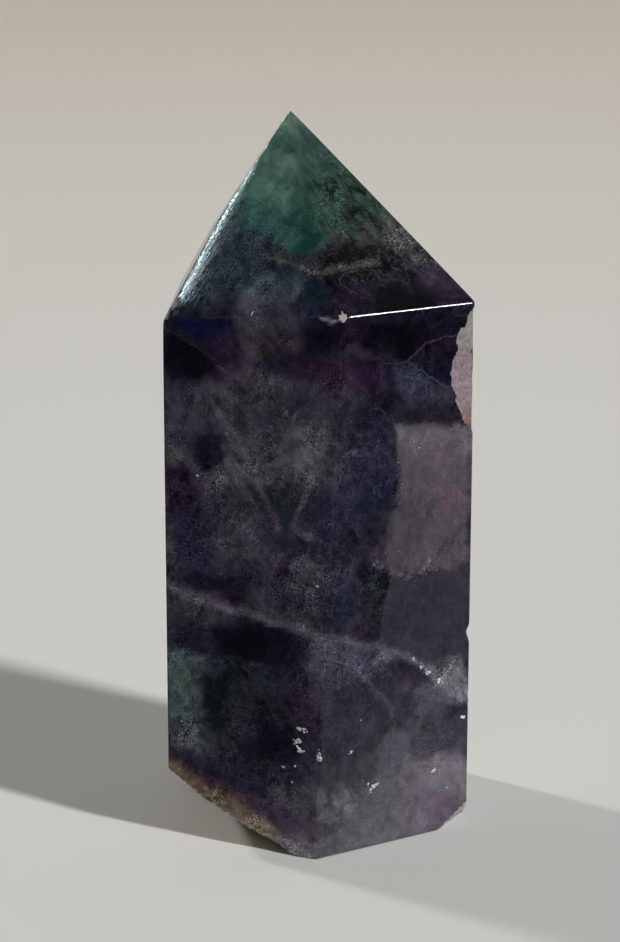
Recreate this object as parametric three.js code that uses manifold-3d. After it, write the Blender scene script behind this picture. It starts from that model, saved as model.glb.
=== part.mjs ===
// A fluorite obelisk: one piece of banded fluorite, sawn flat at the foot, ground into a six-sided tower
// and brought to a six-sided point. It stands on its foot, with one vertical edge to the front (-Y).
// Millimetres, +Z up, origin in the middle of the foot.
//
// The stone is made the way it was ground. A sawn block is held to a flat wheel once for each face, and
// each setting takes away all that lies beyond one plane. Its breaks come after: two cleavage planes that
// took the lower left corner, small planes at two other corners, and nicks and scoops along the edges.

import * as THREE from "three";
import { mergeVertices } from "three/addons/utils/BufferGeometryUtils.js";
import Module from "manifold-3d";

const wasm = await Module();
wasm.setup();

// The sawn block that the tower is ground from.
const BLOCK_WIDTH = 60;
const TOWER_HEIGHT = 90;

// A flat wheel or a cleavage plane is a cube far larger than the stone.
const WHEEL_SIZE = 220;

// Each plane is set by three numbers: the way it faces (turn, anticlockwise from +X seen from above), how
// far its outward normal is raised above level (rise), and its distance from the origin (reach).
const SIDES = {
  leftFront: { turn: 246, rise: 1.35, reach: 19.39 },
  rightFront: { turn: 302.7, rise: -1.3, reach: 17.54 },
  right: { turn: 3.5, rise: 0, reach: 18.27 },
  rightBack: { turn: 63, rise: -0.3, reach: 18.34 },
  leftBack: { turn: 121, rise: 0.4, reach: 18.56 },
  left: { turn: 176.5, rise: -0.2, reach: 18.01 },
};

// The point is lower on the left, so its tip stands left of the middle. Its left facet is in two planes.
const POINT_FACETS = {
  leftFront: { turn: 243.8, rise: 33.9, reach: 52.31 },
  rightFront: { turn: 303.2, rise: 42.4, reach: 59.91 },
  right: { turn: 8.2, rise: 43.3, reach: 59.19 },
  rightBack: { turn: 62, rise: 40, reach: 56.51 },
  leftBack: { turn: 121, rise: 38, reach: 56.57 },
  leftUpper: { turn: 177, rise: 33.3, reach: 52.38 },
  leftLower: { turn: 178, rise: 29.3, reach: 48.31 },
  bluntTip: { turn: 200, rise: 86, reach: 89.96 },
};

// Octahedral cleavage broke the stone along planes too.
const BREAKS = {
  lowerLeft: { turn: 209.4, rise: -53.7, reach: 7.21 },
  lowerLeftEdge: { turn: 195, rise: -50, reach: 7.05 },
  lowerRightCorner: { turn: 331, rise: -37, reach: 14.9 },
  leftShoulder: { turn: 242.8, rise: 20.1, reach: 39.96 },
};

// Nicks are three-sided grooves that run back and down from the right edge and die out on the right side.
// "turn" is square to the groove, "reach" is to the edge before it was nicked, and "height" is where the
// groove passes the middle of the stone.
const EDGE_NICKS = [
  { name: "right edge, large", turn: -3, reach: 19.38, height: 23.8, opening: 2.7, depth: 0.56 },
  { name: "right edge, upper", turn: -3, reach: 19.46, height: 59.6, opening: 0.9, depth: 0.2 },
  { name: "right edge, lower", turn: -3, reach: 19.33, height: 15.6, opening: 1.3, depth: 0.25 },
  { name: "right edge, lowest", turn: -3, reach: 19.33, height: 14.1, opening: 0.9, depth: 0.2 },
];
const NICK_LENGTH = 30;
const NICK_FALL = 13;
const NICK_OVERHANG = 3;

// Scoops are shell-shaped chips: a ball is taken from an edge.
const SCOOPS = [
  { name: "girdle, front corner", centre: [2.72, -21.75, 68.55], radius: 1.42 },
  { name: "front edge, low", centre: [-0.35, -22.4, 13.6], radius: 1.62 },
  { name: "broken edge, step", centre: [-6.7, -19.2, 0.2], radius: 2.3 },
];
const SCOOP_SEGMENTS = 28;

// A closed three.js geometry as a solid that can be cut.
function solidOf(geometry) {
  const bare = geometry.clone();
  bare.deleteAttribute("normal");
  bare.deleteAttribute("uv");
  const merged = mergeVertices(bare, 1e-5);
  return new wasm.Manifold(
    new wasm.Mesh({
      numProp: 3,
      vertProperties: new Float32Array(merged.attributes.position.array),
      triVerts: new Uint32Array(merged.index.array),
    }),
  );
}

// A solid back as a three.js geometry.
function geometryOf(solid) {
  const mesh = solid.getMesh();
  const geometry = new THREE.BufferGeometry();
  geometry.setAttribute("position", new THREE.BufferAttribute(mesh.vertProperties, 3));
  geometry.setIndex(new THREE.BufferAttribute(mesh.triVerts, 1));
  geometry.computeVertexNormals();
  return geometry;
}

// The direction a plane faces.
function facing({ turn, rise }) {
  const azimuth = THREE.MathUtils.degToRad(turn);
  const elevation = THREE.MathUtils.degToRad(rise);
  return new THREE.Vector3(
    Math.cos(elevation) * Math.cos(azimuth),
    Math.cos(elevation) * Math.sin(azimuth),
    Math.sin(elevation),
  );
}

// Takes away all of the stone that lies beyond one plane.
function grind(stone, plane) {
  const outward = facing(plane);
  const wheel = new THREE.BoxGeometry(WHEEL_SIZE, WHEEL_SIZE, WHEEL_SIZE);
  wheel.translate(0, 0, WHEEL_SIZE / 2 + plane.reach);
  wheel.applyQuaternion(new THREE.Quaternion().setFromUnitVectors(new THREE.Vector3(0, 0, 1), outward));
  return stone.subtract(solidOf(wheel));
}

// Cuts a three-sided groove across an upright edge.
function nick(stone, { turn, reach, height, opening, depth }) {
  const slope = opening / 2 / depth;
  const section = new THREE.Shape();
  section.moveTo(-depth, 0);
  section.lineTo(NICK_OVERHANG, -slope * (depth + NICK_OVERHANG));
  section.lineTo(NICK_OVERHANG, slope * (depth + NICK_OVERHANG));
  section.closePath();
  const groove = new THREE.ExtrudeGeometry(section, { depth: NICK_LENGTH, bevelEnabled: false });
  groove.translate(reach, 0, -NICK_LENGTH / 2);
  groove.rotateX(THREE.MathUtils.degToRad(90 - NICK_FALL));
  groove.rotateZ(THREE.MathUtils.degToRad(turn));
  groove.translate(0, 0, height);
  return stone.subtract(solidOf(groove));
}

// Takes a ball out of an edge.
function scoop(stone, { centre, radius }) {
  const ball = new THREE.SphereGeometry(radius, SCOOP_SEGMENTS, SCOOP_SEGMENTS / 2);
  ball.translate(...centre);
  return stone.subtract(solidOf(ball));
}

function makeStone() {
  const block = new THREE.BoxGeometry(BLOCK_WIDTH, BLOCK_WIDTH, TOWER_HEIGHT);
  block.translate(0, 0, TOWER_HEIGHT / 2);
  let stone = solidOf(block);
  for (const planes of [SIDES, POINT_FACETS, BREAKS]) {
    for (const plane of Object.values(planes)) stone = grind(stone, plane);
  }
  for (const edgeNick of EDGE_NICKS) stone = nick(stone, edgeNick);
  for (const chip of SCOOPS) stone = scoop(stone, chip);
  return geometryOf(stone);
}

const purpleFluorite = new THREE.MeshStandardMaterial({
  color: 0x3a2f45,
  roughness: 0.12,
  metalness: 0,
});

const stone = new THREE.Mesh(makeStone(), purpleFluorite);
stone.name = "fluorite_tower";

const group = new THREE.Group();
group.add(stone);

export default group;
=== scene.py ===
# A fluorite obelisk: one piece of banded fluorite, sawn flat at the foot and hand-ground into a six-sided
# tower with a six-sided point. Cloudy healed cracks and colour bands lie in the clear stone.
# Metres in Blender, millimetres in the sizes below; +Z up, the front edge towards -Y.

import itertools
import math

import bpy
import numpy as np
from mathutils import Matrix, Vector


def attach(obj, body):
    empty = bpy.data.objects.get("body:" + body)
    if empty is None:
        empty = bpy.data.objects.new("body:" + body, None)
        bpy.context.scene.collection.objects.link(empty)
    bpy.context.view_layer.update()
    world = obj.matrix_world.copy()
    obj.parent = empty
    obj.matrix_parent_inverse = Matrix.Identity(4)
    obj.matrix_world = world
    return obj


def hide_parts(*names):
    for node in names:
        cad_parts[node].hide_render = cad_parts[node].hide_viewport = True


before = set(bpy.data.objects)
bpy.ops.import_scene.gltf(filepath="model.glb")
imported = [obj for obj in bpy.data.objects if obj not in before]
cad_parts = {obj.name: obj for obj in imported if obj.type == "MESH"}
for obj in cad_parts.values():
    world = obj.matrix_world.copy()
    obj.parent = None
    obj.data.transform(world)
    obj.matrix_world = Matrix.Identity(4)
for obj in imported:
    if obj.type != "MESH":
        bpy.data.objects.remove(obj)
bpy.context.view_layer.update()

MM = 0.001

# ---------------------------------------------------------------------------------------------------------
# The stone. A block of fluorite was held to a flat wheel once for each face, so each face is one plane, and
# the edges between them are only just rounded by polishing. Cleavage took its lower left corner later.
# ---------------------------------------------------------------------------------------------------------

# Each plane: the way it faces (turn, anticlockwise from +X), how far it leans up (rise), both in degrees, and
# how far it is from the origin.
SIDES = {
    "left front": (246, 1.35, 19.39),
    "right front": (302.7, -1.3, 17.54),
    "right": (3.5, 0, 18.27),
    "right back": (63, -0.3, 18.34),
    "left back": (121, 0.4, 18.56),
    "left": (176.5, -0.2, 18.01),
}
POINT_FACETS = {
    "left front": (243.8, 33.9, 52.31),
    "right front": (303.2, 42.4, 59.91),
    "right": (8.2, 43.3, 59.19),
    "right back": (62, 40, 56.51),
    "left back": (121, 38, 56.57),
    "left upper": (177, 33.3, 52.38),
    "left lower": (178, 29.3, 48.31),
    "left shoulder": (242.8, 20.1, 39.96),
    "blunt tip": (200, 86, 89.96),
}
BREAKS = {
    "lower left": (209.4, -53.7, 7.21),
    "lower left edge": (195, -50, 7.05),
    "lower right corner": (331, -37, 14.9),
}
FOOT_REACH = 0.0
TIP_OF_FACETS = ("left front", "right front", "right")

# Shell-shaped chips: centre and radius of the ball that fits each, and how much white powder is left in it.
SCOOPS = {
    "girdle, front corner": ((2.75, -21.6, 68.5), 1.35, 1.0),
    "broken edge, step": ((-6.7, -19.2, 0.2), 2.3, 0.0),
    "left shoulder, outer": ((-19.1, -11.6, 66.9), 1.2, 0.15),
    "left shoulder, inner": ((-17.9, -11.4, 68.2), 1.0, 0.1),
    "left shoulder, low": ((-19.6, -11.5, 65.2), 0.95, 0.1),
}
# White powder on the broken corner, how far it shows beyond the break, and beyond each chip.
POWDER_ON_CORNER, CORNER_POWDER_REACH, CHIP_POWDER_REACH = 0.7, 0.5, 0.2
# Grooves in the right edge face that way (turn), fall towards the back (degrees) and are cut from a plane at
# that reach: height at the middle, opening, depth.
NICK_TURN, NICK_FALL, EDGE_REACH = -3, 13, 19.4
NICKS = {
    "large": (23.8, 2.7, 0.56),
    "upper": (59.6, 0.9, 0.2),
    "lower": (15.6, 1.3, 0.25),
    "lowest": (14.1, 0.9, 0.2),
}

# Polishing rounds the edges this softly, and lowers the faces beside them this much, over that spread.
EDGE_SOFTNESS = 0.05
SHOULDER_DEPTH, SHOULDER_SPREAD = 0.02, 1.1
# Steps on a broken face: their size, how many to a unit of noise, and the noise (size in mm, strength).
CLEAVAGE_STEP, TERRACES, TERRACE_LAYERS = 0.2, 2.5, ((3.4, 0.9), (1.5, 0.45))
# The noise repeats after this many cells.
LATTICE = 48


def facing(turn, rise):
    """The unit vector that points that way: the usual formula for a turn and a rise in degrees."""
    turn, rise = np.radians(turn), np.radians(rise)
    return np.stack([np.cos(rise) * np.cos(turn), np.cos(rise) * np.sin(turn), np.sin(rise)], -1)


def planes_of(table):
    """The outward normals and reaches of a table of planes, as two arrays."""
    turn, rise, reach = np.array(list(table.values()), float).T
    return facing(turn, rise), reach


def cloud(points, size, seed):
    """Value noise from -1 to 1: random numbers on a lattice of that size, the nearest eight blended."""
    table = np.random.default_rng(seed).uniform(-1, 1, (LATTICE,) * 3)
    place = points / size
    cell = np.floor(place).astype(int)
    part = place - cell
    part = part * part * (3 - 2 * part)
    total = np.zeros(len(points))
    for corner in itertools.product((0, 1), repeat=3):
        weight = np.prod(np.where(corner, part, 1 - part), axis=1)
        x, y, z = ((cell + corner) % LATTICE).T
        total += weight * table[x, y, z]
    return total


def layered(points, layers, seed):
    """Several clouds added up: one of each size, times its strength."""
    return sum(strength * cloud(points, size, seed + i) for i, (size, strength) in enumerate(layers))


def hackly(points):
    """How far a broken face is stepped in: clouds of three sizes, the coarser two cut into level terraces."""
    terraces = np.floor(layered(points, TERRACE_LAYERS, 11) * TERRACES) / TERRACES
    return CLEAVAGE_STEP * (0.6 + terraces + 0.35 * cloud(points, 0.7, 13))


side_normals, side_reaches = planes_of(SIDES)
facet_normals, facet_reaches = planes_of(POINT_FACETS)
foot_plane = (np.array([0, 0, -1.0]), FOOT_REACH)
polished_normals = np.vstack([side_normals, facet_normals, foot_plane[0]])
polished_reaches = np.concatenate([side_reaches, facet_reaches, [FOOT_REACH]])
broken_normals, broken_reaches = planes_of(BREAKS)
side_planes = list(zip(side_normals, side_reaches))


def meet(*planes):
    """The point where three planes meet: the solution of normal . point = reach for all three."""
    normals, reaches = zip(*planes)
    return np.linalg.solve(np.array(normals), np.array(reaches))


# The natural rind on the right edge: how far it reaches over the front at each height, its middle height, how
# much further it reaches over the side, how thick it is, and the noise and softness of its border.
RIND_HEIGHTS = (51.5, 51.9, 53.7, 56.4, 59.1, 61.2, 64.4, 65.4, 66.6, 67.6)
RIND_REACHES = (0.0, 0.5, 1.8, 2.6, 3.4, 2.8, 2.6, 1.2, 0.6, 0.0)
RIND_MIDDLE, RIND_SIDEWAYS, RIND_DEPTH = 59.7, 2.1, 0.16
RIND_BORDER, RIND_FADE = ((1.9, 0.14), (0.7, 0.13)), 0.3


def rind_share(points):
    """1 on the rind, 0 away from it: the distance from the right edge against the reach at that height, with
    clouds of noise to make the border uneven."""
    edge = meet(side_planes[1], side_planes[2], (np.array([0, 0, 1.0]), RIND_MIDDLE))
    away = np.hypot(points[:, 0] - edge[0], points[:, 1] - edge[1])
    away = np.where(points[:, 1] < edge[1], away, away / RIND_SIDEWAYS)
    height = points[:, 2] + 0.7 * cloud(points, 1.3, 64)
    reach = np.interp(height, RIND_HEIGHTS, RIND_REACHES)
    reach = reach * (1 + layered(points, RIND_BORDER, 61))
    return np.clip((reach - away) / RIND_FADE + 0.5, 0, 1) * (points[:, 0] > 0) * (reach > 0.05)


def taken_away(points):
    """How far a point is inside what the breaks, nicks and shell-shaped chips have taken away, in mm."""
    field = (points @ broken_normals.T - broken_reaches).max(axis=1) + hackly(points)
    for centre, radius, _ in SCOOPS.values():
        field = np.maximum(field, radius - np.linalg.norm(points - centre, axis=1))
    outward = facing(NICK_TURN, 0)
    across = np.array([-outward[1], outward[0], 0])
    for height, opening, depth in NICKS.values():
        level = points[:, 2] - height + math.tan(math.radians(NICK_FALL)) * (points @ across)
        groove = EDGE_REACH - depth + np.abs(level) * 2 * depth / opening
        field = np.maximum(field, (points @ outward - groove) * opening / (2 * depth + opening))
    return field


def beyond_planes(points):
    """Signed distance beyond each polished plane, in mm: normal . point - reach."""
    return points @ polished_normals.T - polished_reaches


def outside_by(points):
    """Signed distance beyond the stone, in mm: the soft maximum of its planes, k * log(sum(exp(d / k))), with
    a faint wider softening and the thin rind missing, and then whatever has been taken away."""
    beyond = beyond_planes(points)
    most = beyond.max(axis=1)
    near = beyond - most[:, None]
    field = most + EDGE_SOFTNESS * np.log(np.exp(near / EDGE_SOFTNESS).sum(axis=1))
    field += SHOULDER_DEPTH * (np.exp(near / SHOULDER_SPREAD).sum(axis=1) - 1)
    field += RIND_DEPTH * rind_share(points) * (1 + 0.5 * cloud(points, 1.3, 63))
    return np.maximum(field, taken_away(points))


# The mesh: how far apart its columns and rows are, how they close up beside an edge, and the rough length of
# a side and of the point, which turn those steps into shares.
COLUMN_STEP, ROW_STEP, POINT_ROW_STEP, NEAR_EDGES = 0.33, 0.48, 0.52, (0.05, 0.12, 0.25, 0.5)
SIDE_HEIGHT, POINT_HEIGHT = 67, 32
# A column starts where the girdle bends by this share of its sharpest bend, if the last is that far away. The
# girdle is tried at that many places.
KINK, LEAST_COLUMN, PLACES_TRIED = 0.2, 0.25, 2001


def spread(knots, step, near=NEAR_EDGES):
    """Numbers from the first knot to the last, about a step apart, and closer on both sides of each knot."""
    found = []
    for start, end in zip(knots[:-1], knots[1:]):
        length = end - start
        offsets = [d for d in near if d < length / 3]
        inner = offsets[-1] if offsets else 0
        count = max(1, round((length - 2 * inner) / step))
        found += [start] + [start + d for d in offsets[:-1]]
        even = np.linspace(start + inner, end - inner, count + 1)
        found += list(even if offsets else even[1:-1])
        found += [end - d for d in reversed(offsets[:-1])]
    return np.array(found)


# Rows on the foot, as shares of the way from its middle to its edge.
FOOT_ROWS = (0.0, 0.25, 0.45, 0.58, 0.66, 0.72, 0.77, 0.81, 0.85, 0.88, 0.91, 0.94, 0.965, 0.985, 0.995)

tip = meet(*[(facing(*POINT_FACETS[name][:2]), POINT_FACETS[name][2]) for name in TIP_OF_FACETS])


def girdle_of(foot, up):
    """Where lines that start at foot and run along up first meet a facet of the point."""
    climb = (facet_reaches - foot @ facet_normals.T) / (up @ facet_normals.T)
    return foot + climb.min(axis=1)[:, None] * up


def side_columns(before, plane, after):
    """The columns of a side, from the plane before it to the plane after it: their points on the foot and on
    the girdle. They fan out evenly between the side's two edges and close up at each corner of the girdle."""
    start, end = meet(foot_plane, before, plane), meet(foot_plane, plane, after)
    up_start, up_end = np.cross(before[0], plane[0]), np.cross(plane[0], after[0])
    up_start, up_end = up_start / up_start[2], up_end / up_end[2]
    width = np.linalg.norm(end - start)
    tried = np.linspace(0, 1, PLACES_TRIED)[:, None]
    line = girdle_of(start + tried * (end - start), up_start + tried * (up_end - up_start))
    bend = np.abs(np.diff(line[:, 2], 2))
    kinks = tried[1 + np.flatnonzero(bend > KINK * bend.max() + 1e-6), 0] * width
    kinks = [0.0, *kinks, width]
    kinks = [k for i, k in enumerate(kinks) if i == 0 or k - kinks[i - 1] > LEAST_COLUMN]
    share = spread(kinks[:-1] + [width], COLUMN_STEP)[:, None] / width
    foot = start + share * (end - start)
    return foot, girdle_of(foot, up_start + share * (up_end - up_start))


neighbours = zip(side_planes[-1:] + side_planes[:-1], side_planes, side_planes[1:] + side_planes[:1])
foot_lines, girdle_lines = zip(*[side_columns(*three) for three in neighbours])
foot_line, girdle_line = np.vstack(foot_lines), np.vstack(girdle_lines)

side_rows = spread([0.0, 1.0], ROW_STEP / SIDE_HEIGHT, near=[d / SIDE_HEIGHT for d in NEAR_EDGES])
point_rows = spread([0.0, 1.0], POINT_ROW_STEP / POINT_HEIGHT, near=[d / POINT_HEIGHT for d in NEAR_EDGES])
foot_middle = np.array([0.0, 0.0, 0.0])
rows = [foot_middle + (foot_line - foot_middle) * share for share in FOOT_ROWS[1:]]
rows += [foot_line + (girdle_line - foot_line) * share for share in side_rows]
rows += [girdle_line + (tip - girdle_line) * share for share in point_rows]
columns = len(foot_line)
grid = np.concatenate([[foot_middle], *rows, [tip]])

# Each grid point is then moved along its line from the stone's heart until it is just inside the skin.
HEART_HEIGHTS, LEAST_SHARE, MOST_SHARE, HALVINGS = (25, 62), 0.3, 1.1, 24
heart = np.zeros_like(grid)
heart[:, 2] = np.clip(grid[:, 2], *HEART_HEIGHTS)
low, high = np.full(len(grid), LEAST_SHARE), np.full(len(grid), MOST_SHARE)
for _ in range(HALVINGS):
    middle = (low + high) / 2
    outside = outside_by(heart + middle[:, None] * (grid - heart)) > 0
    high, low = np.where(outside, middle, high), np.where(outside, low, middle)
skin = heart + low[:, None] * (grid - heart)

across = np.arange(columns)
beside = (across + 1) % columns
first = 1 + np.arange(len(rows) - 1)[:, None] * columns
quads = [first + across, first + beside, first + columns + beside, first + columns + across]
quads = np.stack(quads, -1).reshape(-1, 4)
last = 1 + (len(rows) - 1) * columns
bottom = np.stack([np.zeros(columns, int), beside + 1, across + 1], -1)
top = np.stack([np.full(columns, len(grid) - 1), last + across, last + beside], -1)
faces = quads.tolist() + bottom.tolist() + top.tolist()

# Tones of the stone as they look in its depth, so that where light shines into a zone from inside, that light
# is painted into its tone: colour, and how cloudy it is (0 clear, 1 full of bubbles, and above 1 where its
# grains stand out).
TONES = {
    "black": ("#04050a", 0.05),
    "violet black": ("#0f0d1a", 0.3),
    "plum night": ("#170f1e", 0.6),
    "deep blue": ("#060b28", 0.1),
    "navy": ("#090e1d", 0.15),
    "navy slate": ("#161b2a", 0.5),
    "violet": ("#1c1a2a", 0.5),
    "plum": ("#241429", 0.3),
    "plum shade": ("#29232f", 0.4),
    "plum smoke": ("#33283a", 0.5),
    "slate": ("#2c2b36", 0.25),
    "slate blue": ("#323543", 0.45),
    "violet slate": ("#262539", 0.45),
    "sea night": ("#1c2530", 0.5),
    "sea slate": ("#304045", 0.4),
    "smoke": ("#302e35", 0.55),
    "grey smoke": ("#474a41", 0.7),
    "pale slate": ("#38363f", 0.3),
    "pale smoke": ("#403f45", 0.75),
    "bright smoke": ("#65636a", 0.7),
    "window grey": ("#534e54", 0.0),
    "lilac": ("#57535d", 0.12),
    "bright lilac": ("#6b676f", 0.2),
    "rose": ("#6a5564", 0.0),
    "mauve": ("#645268", 0.1),
    "brown black": ("#060706", 1.3),
    "brown smoke": ("#302b2c", 0.7),
    "green black": ("#1b2128", 0.3),
    "green smoke": ("#171c20", 0.7),
    "grey green": ("#3d4b47", 0.5),
    "pale grey green": ("#36423f", 0.8),
    "pale green": ("#456257", 0.05),
    "sea green": ("#304e47", 0.12),
    "moss": ("#263f34", 1.0),
    "moss shade": ("#1c2521", 1.1),
    "tongue green": ("#04302a", 0.15),
    "tip grey": ("#526a60", 0.1),
    "quiet slate": ("#34323b", 0.0),
    "slate teal": ("#1c272d", 0.6),
    "grey grains": ("#393b3a", 1.2),
    "deep green": ("#061011", 0.2),
    "dim green": ("#2a433d", 0.15),
    "teal shade": ("#294846", 0.4),
    "blue smoke": ("#444b52", 0.5),
    "blue haze": ("#403f4e", 0.55),
    "teal night": ("#0a1821", 0.25),
}
# The bands that the crystal grew in, from the foot up: height and tone.
BANDS = [
    (0, "pale smoke"), (8, "pale slate"), (15, "slate"), (21, "violet"), (26, "violet black"),
    (30, "smoke"), (36, "violet"), (45, "slate"), (53, "smoke"), (58, "slate"), (61, "violet"),
    (65, "violet black"), (69, "navy slate"), (72, "slate blue"), (75, "brown smoke"), (77, "deep green"),
    (80, "sea green"), (84, "sea slate"), (88, "grey green"),
]
# The same bands where they come out on the other faces, with clearer steps between them.
BANDS_BEHIND = [
    (0, "lilac"), (6, "bright smoke"), (9, "pale slate"), (13, "grey green"), (20, "green smoke"),
    (25, "violet black"), (28, "violet black"), (30, "lilac"), (32, "pale slate"), (37, "violet"),
    (42, "pale smoke"), (47, "window grey"), (52, "pale slate"), (57, "slate"), (61, "plum"),
    (65, "violet black"), (69, "navy slate"), (73, "slate teal"), (76, "brown smoke"), (78, "dim green"),
    (82, "sea green"), (88, "tip grey"),
]
# Veins of haze that wind through the rest of the stone: size of their bends in mm, seed, and half width.
VEINS = [(13, 36, 0.05), (9, 37, 0.06), (6, 38, 0.07)]
# Drifts of another tone through the bands: tone, size in mm, seed, and the noise from which it shows.
DRIFTS = [
    ("violet black", 9, 31, 0.1), ("pale smoke", 7, 32, 0.2), ("navy", 8, 33, 0.35), ("plum", 6, 34, 0.3),
    ("pale slate", 4, 35, 0.25),
]
# Soft patches just under the front faces: x, height, half width, half height, tone, strength.
PATCHES = [
    # point, its pale greens partly the stone's green and partly painted light shining through it from behind
    (-3.5, 88.0, 1.9, 2.0, "tip grey", 0.8), (-2.0, 85.5, 2.7, 1.1, "sea green", 0.7),
    (-9.3, 78.4, 1.7, 1.6, "pale green", 0.6), (-10.0, 76.0, 2.7, 2.2, "sea slate", 0.7),
    (-15.0, 69.5, 2.4, 0.9, "sea slate", 0.7), (12.5, 72.5, 2.7, 1.3, "grey grains", 0.7),
    (-0.5, 70.5, 1.2, 1.1, "teal night", 0.95), (9.5, 70.5, 4.3, 1.1, "violet black", 0.6),
    (13.6, 70.7, 1.8, 0.9, "plum smoke", 0.8), (0.9, 67.9, 1.3, 0.18, "bright lilac", 0.9),
    (-17.5, 67.3, 0.5, 0.4, "bright smoke", 0.6),
    # girdle band
    (-13.5, 63.0, 1.7, 1.8, "violet black", 0.8), (-8.0, 66.0, 2.2, 3.0, "pale slate", 0.7),
    (-2.5, 67.5, 1.7, 1.5, "navy slate", 0.8), (-4.5, 62.0, 3.7, 1.0, "violet", 0.7),
    # middle
    (-5.0, 53.2, 3.4, 1.6, "pale smoke", 0.5), (0.1, 53.0, 1.5, 1.2, "bright smoke", 0.45),
    (-6.0, 59.2, 2.6, 1.2, "pale smoke", 0.75), (-1.7, 50.4, 0.9, 0.9, "bright smoke", 0.5),
    (-2.3, 49.3, 1.8, 1.3, "bright smoke", 0.35), (-14.2, 55.3, 1.3, 1.1, "pale smoke", 0.7),
    (-9.5, 38.6, 2.6, 1.6, "pale smoke", 0.7), (-10.6, 52.3, 1.6, 1.6, "pale smoke", 0.4),
    (7.4, 38.6, 1.4, 1.3, "plum smoke", 0.6), (-16.0, 58.0, 2.2, 1.6, "violet black", 0.85),
    (-14.5, 55.5, 3.7, 1.8, "smoke", 0.7), (-9.0, 57.0, 4.9, 3.5, "smoke", 0.7),
    (-3.0, 59.0, 2.9, 1.3, "pale slate", 0.5), (-5.5, 53.5, 2.9, 2.0, "slate", 0.5),
    (2.0, 58.0, 2.4, 2.0, "pale slate", 0.6), (-17.5, 51.5, 1.5, 1.5, "violet black", 0.5),
    (-18.0, 48.5, 1.5, 1.0, "smoke", 0.6), (-11.0, 46.5, 2.7, 1.5, "pale smoke", 0.6),
    (-7.0, 41.5, 3.7, 3.3, "slate", 0.6), (1.5, 53.0, 2.0, 1.8, "pale slate", 0.5),
    (6.0, 54.0, 2.4, 2.8, "violet", 0.9), (9.5, 37.0, 2.0, 1.5, "pale slate", 0.7),
    (4.5, 32.5, 1.6, 2.0, "violet", 0.7),
    # lower left
    (-16.0, 36.0, 2.9, 2.0, "violet", 0.8), (-13.5, 33.5, 2.4, 1.1, "violet black", 0.9),
    (-10.5, 32.0, 1.7, 1.0, "plum", 0.5), (-16.0, 30.5, 2.9, 1.1, "smoke", 0.7),
    (-2.0, 26.0, 2.4, 1.8, "violet", 0.7), (-14.0, 19.0, 2.2, 1.8, "grey green", 0.5),
    (-10.5, 12.5, 2.4, 1.3, "deep green", 0.6), (-8.5, 19.5, 2.4, 3.5, "teal night", 0.6),
    (-14.0, 9.5, 4.2, 1.1, "violet black", 0.7), (-8.0, 9.0, 4.9, 1.6, "violet", 0.9),
    # lower right
    (-3.0, 17.5, 1.2, 1.5, "plum", 0.6), (1.5, 27.0, 2.2, 1.8, "pale slate", 0.6),
    (10.5, 18.5, 3.7, 2.3, "slate", 0.8), (5.0, 17.0, 2.9, 2.5, "slate", 0.8),
    (3.0, 14.0, 2.4, 2.3, "violet", 0.6), (7.0, 10.5, 2.4, 1.6, "pale slate", 0.7),
    (7.5, 5.0, 3.4, 2.5, "lilac", 0.7), (2.0, 7.0, 2.4, 1.8, "pale slate", 0.8),
    (1.6, 3.0, 3.0, 1.6, "pale smoke", 0.8), (-3.0, 8.5, 2.0, 1.5, "violet", 0.7),
    (-3.5, 4.6, 1.7, 1.3, "plum smoke", 0.7), (-4.8, 6.9, 1.5, 1.1, "pale slate", 0.7),
]
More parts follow.
